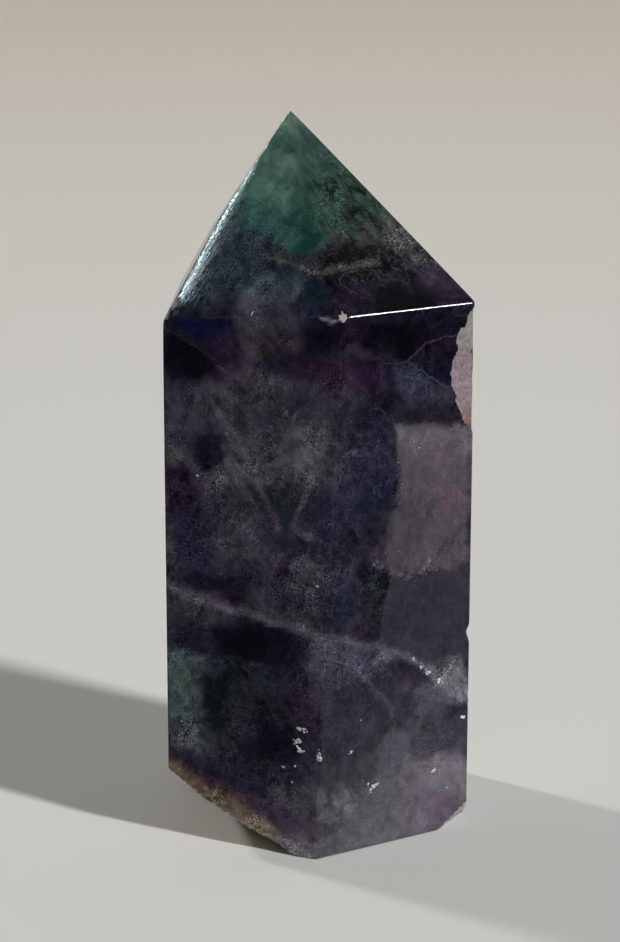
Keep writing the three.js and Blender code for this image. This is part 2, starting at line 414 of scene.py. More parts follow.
# Zones with edges, under the front faces: tone, strength, softness of each edge, and corners (x, height), all
# clockwise. Healed cracks bound them, so that some edges are sharp and others fade.
ZONES = {
    # The pale greens at the point (cap, teal field, pale under the cap, green bloom) are partly the stone's
    # green and partly painted light that shines through the point from behind.
    "cap": ("tip grey", 0.9, (1, 0.5, 1.2, 1.5, 1), [
        (-6.0, 89.6), (-3.3, 90.2), (-0.1, 86.3), (-1.8, 85.4), (-6.9, 85.8)]),
    "teal field": ("sea green", 0.95, (1.2, 1, 1.5, 1.5, 1.2, 1, 1), [
        (-8.5, 87.0), (-0.8, 87.0), (4.0, 81.1), (2.3, 77.1), (-2.3, 74.3), (-6.9, 75.9), (-10.6, 78.3)]),
    "right of the tip": ("dim green", 0.75, (0.5, 0.8, 1.2, 0.6), [
        (-2.4, 88.4), (-0.1, 86.6), (0.4, 84.6), (-2.0, 84.8)]),
    "pale under the cap": ("tip grey", 0.8, 1, [(-7.2, 85.2), (-3.0, 85.6), (-2.8, 82.8), (-7.0, 82.2)]),
    "dim right of the bloom": ("dim green", 0.7, 1, [
        (-4.4, 82.6), (-0.2, 82.6), (0.6, 78.9), (-3.9, 78.8)]),
    "teal below the bloom": ("teal shade", 0.85, (1.2, 1, 1.5, 1.5), [
        (-9.7, 80.2), (-3.5, 78.2), (-2.9, 75.2), (-9.3, 76.4)]),
    "moss on the right": ("moss", 0.9, (1, 0.8, 1, 1.5, 1.5, 1.5), [
        (-0.1, 84.8), (4.0, 82.9), (9.0, 78.3), (9.3, 75.8), (2.5, 75.9), (-0.4, 77.9)]),
    "moss shade": ("moss shade", 0.8, (1, 0.8, 1, 1.2), [
        (2.0, 79.5), (6.5, 79.5), (10.0, 75.6), (3.0, 75.8)]),
    "dark tongue": ("tongue green", 0.95, (1.2, 1.2, 1, 0.8, 1.2), [
        (-3.7, 78.0), (-0.8, 79.2), (0.1, 74.9), (-1.1, 73.1), (-3.0, 74.1)]),
    "green bloom": ("pale green", 0.9, 1.2, [
        (-7.9, 81.6), (-5.0, 83.4), (-3.5, 80.6), (-4.4, 78.6), (-6.8, 79.3)]),
    "brown grains": ("brown black", 1, (0.8, 1.5, 1.5, 1.5, 1.5, 0.8), [
        (-0.8, 75.1), (4.0, 75.7), (10.3, 74.5), (12.7, 71.2), (1.3, 70.6), (-1.3, 72.7)]),
    "grey grains at the edge": ("grey grains", 0.85, (1.2, 0.6, 1, 1.2), [
        (5.4, 77.3), (9.6, 77.4), (14.9, 72.2), (9.4, 73.2)]),
    "teal slate under the bloom": ("slate teal", 0.9, (1, 1.2, 1, 1.2, 1.5, 1), [
        (-12.7, 76.4), (-9.0, 76.6), (-4.0, 75.3), (-2.3, 70.9), (-9.5, 68.8), (-16.3, 68.7)]),
    "smoke over the girdle": ("blue smoke", 0.55, (1.2, 1.2, 1.2, 0.8), [
        (-9.6, 69.7), (-3.2, 71.7), (-1.0, 69.8), (-8.8, 67.6)]),
    "teal pocket over the girdle": ("teal night", 1, 0.7, [
        (-1.8, 71.2), (0.4, 71.3), (0.6, 69.3), (-1.5, 69.1)]),
    "violet over the girdle": ("plum night", 1, (1.5, 1, 0.6, 0.4), [
        (1.5, 70.2), (18.4, 71.0), (18.3, 68.0), (2.4, 68.0)]),
    "black over the girdle": ("black", 1, (1.0, 1, 0.6, 1), [
        (6.5, 70.3), (14.0, 70.4), (14.2, 67.8), (6.6, 67.8)]),
    "plum smoke by the right corner": ("plum smoke", 0.5, 1, [
        (11.2, 72.6), (14.6, 72.4), (16.8, 70.0), (12.4, 70.0)]),
    "green shoulder": ("green black", 0.8, (0.5, 0.8, 0.8, 0.4), [
        (-18.2, 68.4), (-14.3, 68.2), (-13.7, 66.8), (-18.4, 66.1)]),
    "black wedge behind the left shoulder": ("black", 1, (0.35, 0.35, 0.4, 1.2, 1.5, 0.5), [
        (-18.4, 64.9), (-15.6, 63.9), (-12.6, 61.5), (-11.6, 60.6), (-13.2, 58.6), (-18.5, 58.0)]),
    "navy shelf under the girdle, left": ("deep blue", 0.95, (0.5, 0.5, 1.2, 1.0, 0.5), [
        (-18.4, 66.1), (-12.5, 66.9), (-10.4, 66.3), (-11.7, 62.6), (-15.6, 64.2)]),
    "plum by the shoulder crack": ("plum", 0.7, (1.5, 1.2, 0.8, 0.4, 1.5), [
        (-12.8, 64.4), (-9.4, 65.0), (-8.3, 59.7), (-10.4, 60.0), (-13.0, 62.2)]),
    "pale plum on the crack": ("plum smoke", 0.7, (0.8, 0.8, 0.5, 0.8), [
        (-12.6, 61.6), (-9.6, 61.0), (-8.8, 59.7), (-11.9, 60.3)]),
    "brown smoke": ("brown smoke", 0.8, (1.2, 1.0, 0.8, 1.0, 1.5), [
        (-8.2, 65.6), (-2.0, 65.6), (-2.3, 63.4), (-6.8, 62.1), (-8.7, 63.1)]),
    "haze over the brown smoke": ("pale slate", 0.75, 1, [
        (-8.4, 67.7), (-2.4, 67.9), (-2.6, 65.2), (-7.6, 65.0)]),
    "black spot on the front edge": ("black", 0.85, (1, 1, 0.8, 1), [
        (-1.9, 66.1), (2.0, 67.0), (1.8, 64.3), (-1.5, 63.8)]),
    "plum band": ("plum", 0.9, (0.8, 1.2, 1.2, 1.0, 0.8, 1), [
        (-2.3, 62.2), (6.3, 63.4), (7.8, 60.8), (6.8, 58.5), (0.4, 59.6), (-2.7, 60.5)]),
    "smoky plum on the front edge": ("plum smoke", 0.7, 1, [
        (-0.8, 60.7), (4.6, 61.0), (5.2, 58.2), (-0.6, 58.0)]),
    "black under the right girdle": ("black", 0.9, (0.6, 1.2, 1.2, 1.0, 1.0), [
        (4.4, 67.1), (12.6, 67.0), (14.1, 62.4), (10.2, 61.9), (5.6, 64.3)]),
    "violet corner": ("violet black", 0.8, (0.5, 0.5, 1, 1, 1), [
        (13.1, 67.2), (18.3, 67.3), (18.3, 64.5), (16.1, 63.1), (13.9, 63.1)]),
    "navy pocket under the curved vein": ("navy", 0.85, (0.4, 0.4, 0.5, 0.8, 0.4, 0.5), [
        (12.2, 61.4), (14.6, 62.8), (17.1, 62.7), (16.9, 58.5), (15.4, 58.0), (11.9, 60.2)]),
    "plum under the curved vein": ("plum night", 0.6, 1, [
        (11.5, 64.6), (16.0, 64.4), (16.4, 60.8), (12.4, 60.6)]),
    "slate shelf": ("slate blue", 0.9, (0.6, 0.4, 0.5, 1.2, 1.5, 1.2), [
        (9.0, 61.3), (11.4, 60.8), (15.4, 57.5), (16.7, 56.5), (14.7, 54.8), (9.5, 57.1)]),
    "dark under the slate shelf": ("violet black", 0.85, (0.8, 0.8, 1, 0.6, 0.8), [
        (5.8, 59.1), (9.2, 58.8), (10.0, 56.5), (9.5, 54.1), (6.3, 55.6)]),
    "dark band over the window": ("violet black", 0.7, (1.5, 0.8, 0.25, 0.5), [
        (9.7, 56.8), (17.0, 55.5), (17.8, 52.8), (9.8, 54.3)]),
    # The window zones are partly the stone's paler grey and partly painted light that comes through the stone
    # from behind.
    "window, upper": ("window grey", 0.95, (0.3, 0.3, 1, 3, 0.25), [
        (9.5, 54.1), (17.0, 52.8), (18.8, 52.2), (19.0, 40.4), (9.6, 43.5)]),
    "window, bright corner": ("bright lilac", 0.6, (0.3, 1, 1.5, 0.25), [
        (9.6, 53.9), (18.5, 52.2), (18.6, 49.2), (9.7, 50.1)]),
    "window, rose": ("rose", 0.7, 1.2, [(13.0, 50.0), (14.8, 49.8), (15.1, 46.9), (13.3, 47.2)]),
    "window, lower rose": ("rose", 0.7, 1.2, [(14.3, 45.5), (17.4, 45.3), (18.0, 39.5), (14.9, 39.8)]),
    "window, lower": ("window grey", 0.8, (2, 1, 1.2, 0.6, 1.4, 2), [
        (8.9, 43.7), (18.7, 42.0), (18.8, 34.2), (13.7, 34.7), (9.6, 34.7), (7.0, 37.9)]),
    "dusk left of the window": ("violet slate", 0.8, (1.5, 0.4, 0.25, 1, 2), [
        (2.5, 52.5), (9.3, 51.6), (9.5, 43.8), (6.9, 43.0), (2.5, 44.3)]),
    "blue shade left of the window": ("navy slate", 0.6, (1.5, 1, 0.25, 1.2), [
        (5.2, 49.0), (9.4, 50.0), (9.5, 43.6), (5.0, 43.4)]),
    "teal glint left of the window": ("teal night", 0.5, (1.5, 1.2, 1.2, 1.5), [
        (3.4, 45.4), (8.0, 45.0), (7.8, 42.2), (3.8, 42.8)]),
    "quiet dark below the window": ("quiet slate", 0.95, (0.5, 1, 1, 0.6, 0.6, 0.6, 0.3), [
        (9.2, 35.2), (18.8, 33.8), (19.0, 21.5), (15.1, 21.3), (10.5, 24.6), (7.6, 26.0), (7.7, 28.8)]),
    "dark left of the thin line": ("green smoke", 0.9, (0.7, 0.25, 0.4, 0.8, 1), [
        (4.7, 37.1), (8.9, 35.3), (7.7, 28.8), (6.5, 27.2), (5.0, 29.9)]),
    "dark under the smoke": ("violet black", 0.6, (1.5, 1, 1, 1.5), [
        (2.5, 57.6), (5.9, 56.9), (6.4, 53.8), (2.7, 54.1)]),
    "granular smoke": ("pale smoke", 0.8, (1.5, 1.2, 1.2, 0.4, 1.5), [
        (-6.2, 50.9), (-1.5, 52.1), (1.3, 49.5), (-1.3, 46.9), (-6.6, 46.1)]),
    "bright wisp": ("bright smoke", 0.7, (0.8, 0.8, 0.8, 0.6), [
        (-1.8, 52.1), (-0.4, 51.7), (-0.1, 50.3), (-1.1, 50.2)]),
    "dark left edge, middle": ("smoke", 0.7, (1, 1, 1.5, 1, 0.5), [
        (-18.6, 57.0), (-16.4, 56.7), (-15.7, 50.6), (-16.3, 46.2), (-18.7, 45.9)]),
    "plum hollow at the left edge": ("plum night", 0.95, (0.7, 1, 1.2, 1.2, 0.8, 0.4), [
        (-18.7, 47.9), (-15.9, 48.7), (-14.6, 46.4), (-14.4, 41.4), (-16.0, 40.2), (-18.7, 40.4)]),
    "blue hollow at the left edge": ("violet", 0.8, (1.5, 1, 1, 0.8), [
        (-18.0, 41.9), (-14.2, 42.2), (-13.4, 36.0), (-17.8, 36.0)]),
    "pale rim at the left edge": ("grey smoke", 0.6, (1, 0.6, 0.5, 0.5), [
        (-18.9, 40.5), (-18.0, 40.6), (-17.9, 33.4), (-19.0, 33.5)]),
    "grains left of the triangle": ("pale smoke", 0.75, (1.5, 1.2, 1, 1.5), [
        (-13.7, 48.5), (-7.4, 49.5), (-7.0, 46.4), (-13.3, 45.9)]),
    "bright grains left of the triangle": ("bright smoke", 0.45, 1, [
        (-12.6, 49.0), (-7.9, 49.5), (-7.4, 46.9), (-12.4, 46.4)]),
    "smoke field": ("smoke", 0.7, (1.5, 1, 1.5, 1.5), [
        (-13.7, 46.5), (-7.4, 46.5), (-6.9, 39.9), (-13.1, 38.1)]),
    "violet trail over the hollow": ("violet slate", 0.7, 0.8, [
        (-14.0, 55.0), (-12.2, 55.1), (-11.7, 51.6), (-14.2, 51.0)]),
    "navy hollow": ("violet black", 1, (0.8, 0.7, 0.6, 0.9, 0.9, 1.0, 0.8), [
        (-14.4, 52.4), (-12.3, 53.3), (-11.4, 51.3), (-11.6, 48.9), (-13.4, 47.3), (-15.4, 48.2),
        (-15.4, 50.5)]),
    "teal in the hollow": ("sea night", 0.35, 0.8, [
        (-13.2, 52.6), (-11.8, 52.4), (-11.4, 49.8), (-12.8, 49.5)]),
    "olive at the left edge": ("grey smoke", 0.5, (0.7, 0.7, 0.7, 0.4), [
        (-18.5, 50.4), (-16.9, 49.9), (-16.3, 48.5), (-18.3, 48.2)]),
    "violet slate right of the triangle": ("violet slate", 0.8, (1.2, 1, 1.5, 1.2), [
        (-1.0, 47.0), (3.0, 46.4), (3.4, 42.2), (-1.0, 40.6)]),
    "dark triangle": ("green black", 1, (0.2, 0.2, 0.3), [(-7.2, 46.5), (-1.4, 47.0), (-3.7, 41.7)]),
    "dark triangle, upper": ("smoke", 0.3, (0.2, 0.2, 1.0, 0.2), [
        (-6.9, 46.5), (-1.6, 47.0), (-2.5, 44.7), (-5.5, 44.4)]),
    "violet hollow under it": ("violet", 0.75, (1, 1.2, 1.2, 1), [
        (-0.5, 41.4), (5.2, 43.0), (6.2, 38.4), (0.6, 38.0)]),
    "dark hollow over the main band": ("violet black", 0.85, (1, 1.2, 0.4, 0.8), [
        (-12.8, 35.1), (-7.6, 36.0), (-9.1, 31.5), (-11.9, 31.7)]),
    "smoke beside the grains": ("pale slate", 0.75, 1.2, [
        (-9.4, 39.5), (-3.4, 39.3), (-3.8, 35.5), (-8.6, 35.8)]),
    "pale grains by the front edge": ("pale smoke", 0.7, (0.8, 1, 0.8, 0.25, 1), [
        (-3.5, 38.8), (0.8, 38.9), (0.9, 34.6), (-0.6, 32.8), (-4.5, 34.3)]),
    "dark blue behind the grains": ("navy slate", 0.8, (1, 1, 0.6, 0.6), [
        (-0.2, 34.4), (4.5, 34.0), (4.0, 28.8), (0.2, 30.5)]),
    "violet behind the grains": ("slate blue", 0.65, (1, 1, 1, 0.8), [
        (0.4, 38.6), (4.8, 37.8), (4.6, 33.2), (0.4, 34.2)]),
    "lens": ("violet black", 1, (0.6, 0.7, 0.7, 0.6, 0.5, 0.4, 0.25, 0.2, 0.2), [
        (-18.3, 25.3), (-16.0, 27.4), (-11.4, 29.2), (-6.7, 29.6), (-2.7, 28.0), (-0.8, 26.0), (-5.7, 24.1),
        (-12.9, 24.1), (-15.9, 24.6)]),
    "lens, heart": ("black", 0.8, 1, [
        (-12.9, 27.7), (-6.9, 28.8), (-4.5, 27.1), (-6.9, 25.2), (-12.7, 25.4)]),
    "violet in the lens": ("violet", 0.85, 1, [(-17.8, 27.2), (-13.8, 28.0), (-13.0, 25.2), (-17.4, 25.0)]),
    "haze right of the lens": ("blue haze", 0.75, 1, [
        (-1.5, 29.0), (3.0, 28.5), (9.5, 25.0), (8.8, 22.4), (2.0, 21.6), (-1.4, 23.8)]),
    "green field": ("grey green", 0.9, (0.2, 0.2, 0.9, 0.9, 1.2, 0.4), [
        (-19.0, 24.4), (-15.9, 24.3), (-13.9, 24.1), (-14.2, 19.8), (-15.2, 16.3), (-18.8, 15.0)]),
    "green field, behind the step": ("green smoke", 0.85, (0.3, 1.5, 1.5, 1.5, 0.9, 0.9), [
        (-13.8, 24.0), (-5.7, 23.9), (-6.7, 20.9), (-11.0, 15.9), (-14.1, 15.4), (-14.3, 19.8)]),
    "dark field, low left": ("green smoke", 0.8, (1, 1.2, 1.5, 1.2, 1.5, 1.5), [
        (-14.2, 21.2), (-5.2, 22.0), (-1.5, 17.6), (-1.5, 10.9), (-7.0, 8.5), (-14.3, 10.2)]),
    "deep green": ("deep green", 0.95, (1, 1.2, 1, 0.8, 0.8), [
        (-14.2, 22.1), (-11.2, 22.1), (-10.7, 16.2), (-13.7, 15.2), (-14.7, 18.4)]),
    "pale green drift": ("pale grey green", 0.65, (1, 1, 1, 1, 1, 0.5), [
        (-18.5, 15.8), (-15.5, 16.8), (-13.8, 13.5), (-12.9, 12.2), (-14.4, 11.3), (-18.6, 12.1)]),
    "pale grains at the left edge": ("bright smoke", 0.15, (1, 1, 1, 0.6), [
        (-18.8, 14.2), (-16.0, 14.4), (-15.2, 11.4), (-18.6, 11.0)]),
    "violet night under the drift": ("violet", 0.9, (0.8, 1, 1, 1, 1, 0.8), [
        (-18.3, 11.1), (-13.3, 11.9), (-2.3, 9.4), (-0.1, 6.3), (-7.0, 5.7), (-18.4, 8.3)]),
    "black pocket": ("violet black", 1, (1.2, 1, 0.8, 1, 1.5), [
        (-9.0, 16.7), (-5.9, 17.2), (-2.5, 14.7), (-3.5, 11.7), (-9.0, 12.1)]),
    "smoke over the broken edge": ("pale smoke", 0.7, 1, [
        (-6.2, 8.7), (-1.0, 9.1), (-0.6, 5.2), (-5.6, 5.2)]),
    "purple strands over the broken edge": ("plum smoke", 0.7, (0.5, 0.8, 0.8, 0.5, 0.6, 0.6), [
        (-11.2, 7.3), (-8.0, 7.1), (-4.0, 6.2), (-2.4, 4.4), (-5.0, 3.6), (-8.4, 5.0)]),
    "dark by the front edge": ("violet", 0.5, 1.2, [(-1.5, 19.5), (5.0, 18.0), (5.0, 12.6), (-1.5, 11.5)]),
    "purple drift": ("plum", 0.8, (1.2, 1.2, 1, 0.8, 0.8, 1.2), [
        (-5.7, 21.8), (-1.8, 22.4), (-0.1, 19.9), (-0.3, 15.0), (-1.8, 17.3), (-5.2, 17.6)]),
    "little grey sail": ("bright smoke", 0.5, (0.3, 0.3, 0.4, 0.5, 0.4), [
        (5.4, 23.5), (6.5, 24.4), (8.0, 25.5), (9.8, 24.6), (8.0, 24.1)]),
    "plum shade under the band": ("plum shade", 0.7, (0.4, 0.4, 0.4, 1, 1), [
        (6.5, 23.1), (9.8, 24.0), (13.1, 20.6), (14.1, 18.8), (9.6, 19.6)]),
    "teal shade by the branch": ("sea night", 0.45, (0.8, 0.3, 0.3, 1, 1.2), [
        (1.4, 25.2), (4.8, 23.2), (8.1, 18.6), (7.1, 17.0), (1.9, 19.7)]),
    "bright cloud at the right edge": ("bright smoke", 0.95, (0.8, 0.6, 0.6, 0.6, 0.4), [
        (13.8, 22.3), (18.7, 21.8), (18.8, 17.0), (16.7, 16.9), (14.4, 19.8)]),
    "haze left of the bright cloud": ("lilac", 0.7, 1, [
        (11.0, 19.9), (15.2, 19.5), (16.6, 16.2), (12.0, 15.8)]),
    "blue spot at the right edge": ("navy slate", 0.9, (0.6, 0.4, 1, 1), [
        (16.2, 16.8), (18.7, 16.5), (18.6, 13.0), (16.5, 13.8)]),
    "grains at the right": ("pale slate", 0.8, 1, [(11.1, 16.9), (18.6, 14.0), (18.7, 9.8), (11.4, 11.7)]),
    "brown haze": ("lilac", 0.8, 1.2, [(7.4, 15.4), (12.1, 14.4), (12.4, 9.0), (7.5, 9.4)]),
    "haze left of the bright field": ("lilac", 0.6, 1, [(8.6, 9.6), (11.2, 9.4), (11.0, 6.2), (8.4, 6.2)]),
    "lilac foot": ("lilac", 0.9, (1.5, 1.5, 0.5, 0.5, 2), [
        (5.5, 8.6), (18.8, 9.6), (19.0, -0.5), (3.0, -0.5), (2.6, 3.4)]),
    "bright field, low right": ("bright lilac", 0.9, (0.35, 0.3, 0.5, 1.5, 1.5, 1.2), [
        (11.2, 9.9), (14.0, 10.2), (18.8, 9.4), (18.9, 3.2), (12.8, 4.4), (10.7, 6.6)]),
    "purple blush": ("mauve", 0.85, 1, [(12.7, 5.5), (15.9, 5.0), (16.2, 1.7), (13.3, 2.2)]),
    "green grains, low": ("pale smoke", 0.5, (1, 1.2, 1, 1.2), [
        (-0.8, 9.2), (4.6, 8.0), (4.9, 4.0), (-0.6, 4.9)]),
    "bright grains, low": ("bright smoke", 0.5, 1, [(-0.4, 8.5), (4.2, 8.1), (4.4, 4.7), (-0.4, 5.0)]),
    "bright foot at the right": ("bright lilac", 0.9, (1, 1.2, 1, 1), [
        (9.8, 4.6), (13.2, 4.4), (13.4, 0.6), (9.8, 0.6)]),
    "pale wedge at the foot": ("bright smoke", 0.9, 0.8, [
        (-7.2, 3.4), (-4.9, 2.5), (-2.6, 1.9), (-1.0, 0.8), (-1.0, -1.5), (-7.2, -1.5)]),
    "pale foot": ("bright lilac", 0.5, (1.5, 1.5, 1.5, 0.5, 0.5, 0.5, 0.5, 1), [
        (-2.8, 3.2), (5.1, 3.4), (11.5, 2.3), (15.9, 1.8), (15.4, 0.0), (5.2, -0.1), (-1.1, -0.1),
        (-3.1, -0.2)]),
    "plum smoke at the foot": ("plum smoke", 0.75, 0.8, [
        (-4.0, 4.9), (-0.8, 5.0), (-0.6, 2.7), (-3.0, 2.4)]),
}
# Bands of haze along healed cracks: tone, strength, half width at each end, and the way it runs (x, height).
HAZE = {
    "main band": ("lilac", 0.8, 0.55, 0.5, [
        (-19.0, 32.9), (-15.9, 31.5), (-11.1, 30.7), (-7.2, 30.1), (-2.3, 29.2), (2.6, 28.1), (7.9, 25.8),
        (10.5, 24.7), (13.2, 22.3), (15.2, 19.9), (16.5, 17.3)]),
    "upper strand": ("pale slate", 0.6, 0.5, 0.4, [(-7.2, 31.6), (-2.5, 30.6), (1.5, 27.6), (4.6, 26.4)]),
    "branch": ("pale smoke", 0.5, 0.35, 0.2, [
        (-0.5, 28.2), (4.4, 24.1), (6.5, 21.4), (9.1, 18.1), (9.3, 15.1)]),
    "column under the girdle": ("pale slate", 0.6, 1.3, 1.0, [(-8.0, 68.0), (-8.2, 64.0), (-9.0, 60.0)]),
    "smoke by the black wedge": ("pale slate", 0.5, 0.9, 1.2, [
        (-18.0, 57.5), (-14.0, 58.0), (-11.0, 57.0)]),
    "fan below the shoulder": ("pale smoke", 0.45, 0.6, 0.9, [(-12.0, 57.5), (-10.5, 53.0), (-8.5, 48.5)]),
    "middle diagonal": ("bright smoke", 0.45, 0.55, 0.3, [
        (-12.1, 55.2), (-10.5, 52.4), (-9.3, 49.9), (-7.8, 48.7), (-7.2, 46.5), (-6.2, 44.2),
        (-4.5, 41.5)]),
    "right of the triangle": ("bright smoke", 0.4, 0.35, 0.3, [
        (-0.9, 48.3), (-1.7, 45.3), (-3.1, 42.1), (-1.9, 41.2), (0.5, 40.4)]),
    "wisp over the triangle": ("bright smoke", 0.4, 0.5, 0.3, [(-3.8, 53.0), (-1.3, 54.1), (1.1, 55.1)]),
    "bright smear": ("bright lilac", 0.7, 0.32, 0.25, [(-2.0, 51.8), (-0.9, 51.0), (-0.6, 50.0)]),
    "small arc": ("bright smoke", 0.35, 0.25, 0.2, [(-10.6, 41.9), (-8.6, 40.9), (-7.4, 38.8)]),
    "upright thread": ("bright smoke", 0.3, 0.2, 0.2, [(-10.6, 58.2), (-10.6, 54.3)]),
    "arc under the window": ("bright smoke", 0.5, 0.35, 0.3, [
        (6.8, 36.9), (9.0, 35.3), (11.0, 34.6), (13.0, 35.2), (14.3, 37.2)]),
    "edge of the bright cloud": ("bright lilac", 0.7, 0.2, 0.25, [
        (10.5, 24.6), (12.6, 22.9), (14.3, 20.4), (16.0, 18.0)]),
    "arc, low right": ("bright smoke", 0.6, 0.2, 0.2, [(11.0, 9.5), (13.5, 10.6), (16.5, 10.0)]),
    "pale veil under the tip": ("pale grey green", 0.55, 0.35, 0.3, [
        (-5.3, 86.0), (-2.0, 85.2), (1.4, 84.3)]),
    "star over the middle": ("bright smoke", 0.6, 0.16, 0.1, [(-4.4, 56.4), (-3.2, 55.5), (-2.0, 54.9)]),
    "star, other ray": ("bright smoke", 0.5, 0.14, 0.1, [(-2.2, 56.3), (-3.0, 55.2), (-3.1, 54.4)]),
    "long wisp": ("bright smoke", 0.4, 0.12, 0.1, [(2.6, 51.2), (4.6, 51.5), (7.0, 51.0)]),
    "thread to the window": ("pale smoke", 0.5, 0.12, 0.1, [(1.5, 54.6), (4.8, 53.4), (8.6, 53.6)]),
    "yellow veil": ("grey smoke", 0.8, 0.18, 0.34, [
        (-6.6, 73.9), (-3.6, 73.3), (-1.1, 72.8), (3.3, 72.9), (7.0, 73.2)]),
    "green edge of the lens": ("sea slate", 0.6, 0.2, 0.15, [
        (-18.9, 24.7), (-15.9, 24.6), (-13.0, 24.1), (-9.9, 24.4), (-5.7, 23.9)]),
}
# How far behind the front faces the drawn colours end, and over what depth they fade out.
FRONT_REACH, FRONT_FADE = 11.0, 4.0
# Noise that makes outlines wander: the size of the bends and how far they go, in mm.
BANDS_WANDER, PATCHES_WANDER = ((12, 1.8), (4, 0.9)), ((3.1, 0.9), (1.1, 0.35))
ZONES_WANDER, SOFT_EDGES_WANDER = ((2.3, 0.3), (0.8, 0.12)), ((1.9, 0.9), (0.8, 0.5))
# Over how much noise a drift fades in; where a patch and a path end, as shares of their half width, and over
# what share a patch fades.
DRIFT_FADE, PATCH_END, PATCH_FADE, PATH_END = 0.35, 1.35, 0.7, 1.4
# Along the broken edge the stone thins out and the light gets through; that light is painted in as a glow:
# depth behind the break, and colour.
THIN_EDGE_GLOW = [(0.0, "#6f6455"), (1.4, "#6a5c4d"), (2.1, "#513e3f"), (2.8, "#33252f"), (3.6, "#201b2a")]
# How deep that painted glow goes, over what depth it fades and how strong it is, and where it ends on the
# right.
THIN_EDGE_DEPTH, THIN_EDGE_FADE, THIN_EDGE_SHARE = 3.8, 1.2, 0.9
THIN_EDGE_END, THIN_EDGE_RUN = -4.0, 2.5
# How that changes along it, from left to right: place, light, and how broad.
THIN_EDGE_PLACES, THIN_EDGE_LIGHTS = (-17, -13, -9, -6), (0.85, 0.95, 0.9, 1.15)
THIN_EDGE_BREADTHS = (0.85, 1.15, 1.3, 1.0)


def linear(hex_colour):
    """An sRGB hex colour as linear red, green and blue."""
    srgb = np.array([int(hex_colour[i:i + 2], 16) for i in (1, 3, 5)]) / 255
    return np.where(srgb <= 0.04045, srgb / 12.92, ((srgb + 0.055) / 1.055) ** 2.4)


def tone(name):
    """A tone as four numbers: linear red, green and blue, and cloudiness."""
    colour, cloudiness = TONES[name]
    return np.append(linear(colour), cloudiness)


def smooth(share):
    """The usual smooth step, 3 s^2 - 2 s^3, of a share held between 0 and 1."""
    share = np.clip(share, 0, 1)
    return share * share * (3 - 2 * share)


def inside_outline(x, z, bend, corners, softness):
    """1 inside a clockwise outline, 0 outside: for each edge, a smooth step of the distance inside that edge
    over its own softness, all multiplied. A soft edge is bent as far as it is soft."""
    share = np.ones(len(x))
    for start, end, soft in zip(corners, corners[1:] + corners[:1], np.broadcast_to(softness, len(corners))):
        along = np.subtract(end, start) / np.hypot(*np.subtract(end, start))
        depth = (x - start[0]) * along[1] - (z - start[1]) * along[0] + bend * min(soft, 1.5)
        share *= smooth(0.5 + depth / (2 * soft))
    return share


def beside_path(x, z, path, wide_start, wide_end):
    """1 along a path of straight runs, fading to 0 at its half width, which changes evenly end to end."""
    share = np.zeros(len(x))
    path = np.array(path, float)
    for number, (start, end) in enumerate(zip(path[:-1], path[1:])):
        run = end - start
        part = np.clip(((x - start[0]) * run[0] + (z - start[1]) * run[1]) / (run @ run), 0, 1)
        away = np.hypot(x - start[0] - part * run[0], z - start[1] - part * run[1])
        wide = wide_start + (wide_end - wide_start) * (number + part) / (len(path) - 1)
        share = np.maximum(share, smooth(PATH_END - away / wide))
    return share


front_planes = [table[name] for table in (SIDES, POINT_FACETS) for name in ("left front", "right front")]
front_normals = np.array([facing(turn, rise) for turn, rise, _ in front_planes])
front_reaches = np.array([reach for _, _, reach in front_planes])


def depth_behind_front(points):
    """How far a point lies behind the front faces, along +Y, in mm."""
    return ((front_reaches - points @ front_normals.T) / -front_normals[:, 1]).min(axis=1)


def blended(at, places, rows):
    """Rows of numbers read off anywhere between the places given: linear interpolation, column by column."""
    return np.stack([np.interp(at, places, column) for column in np.transpose(rows)], -1)


def laid_over(tint, share, name):
    """A tint with a tone laid over it, as strongly as its share says: tint + share * (tone - tint)."""
    return tint + share[:, None] * (tone(name) - tint)


def grown_bands(points, near):
    """The bands by height, their borders made wavy by noise, then drifts of noise, and at the back veins
    where noise crosses zero."""
    rise = points[:, 2] + layered(points, BANDS_WANDER, 21)
    tint = np.zeros((len(points), 4))
    for bands, share in ((BANDS, near), (BANDS_BEHIND, 1 - near)):
        heights, names = zip(*bands)
        tint += share[:, None] * blended(rise, heights, [tone(name) for name in names])
    for name, size, seed, least in DRIFTS:
        share = smooth((cloud(points, size, seed) - least) / DRIFT_FADE) * (0.75 - 0.35 * near)
        tint = laid_over(tint, share, name)
    for size, seed, half_width in VEINS:
        off = np.abs(cloud(points, size, seed) + 0.25 * cloud(points, size / 4, seed + 40)) / half_width
        share = (1 - near) * smooth(1.5 - off) * (0.35 + 0.3 * cloud(points, 4, seed + 50))
        tint = laid_over(tint, share, "bright lilac")
    return tint


def drawn_colours(points, near, tint):
    """The patches, zones and haze that lie under the front faces, laid over a tint one after another. Noise
    makes their outlines wander and the haze patchy."""
    x = points[:, 0] + layered(points, PATCHES_WANDER, 41)
    z = points[:, 2] + layered(points, PATCHES_WANDER, 43)
    for middle_x, middle_z, wide, high, name, strength in PATCHES:
        away = np.hypot((x - middle_x) / wide, (z - middle_z) / high)
        tint = laid_over(tint, strength * near * smooth((PATCH_END - away) / PATCH_FADE), name)
    x = points[:, 0] + layered(points, ZONES_WANDER, 45)
    z = points[:, 2] + layered(points, ZONES_WANDER, 47)
    bend = layered(points, SOFT_EDGES_WANDER, 52)
    for name, strength, softness, corners in ZONES.values():
        tint = laid_over(tint, strength * near * inside_outline(x, z, bend, corners, softness), name)
    patchy = 0.7 + 0.5 * cloud(points, 1.6, 49)
    for name, strength, wide_start, wide_end, path in HAZE.values():
        share = strength * near * patchy * beside_path(x, z, path, wide_start, wide_end)
        tint = laid_over(tint, np.clip(share, 0, 1), name)
    return tint


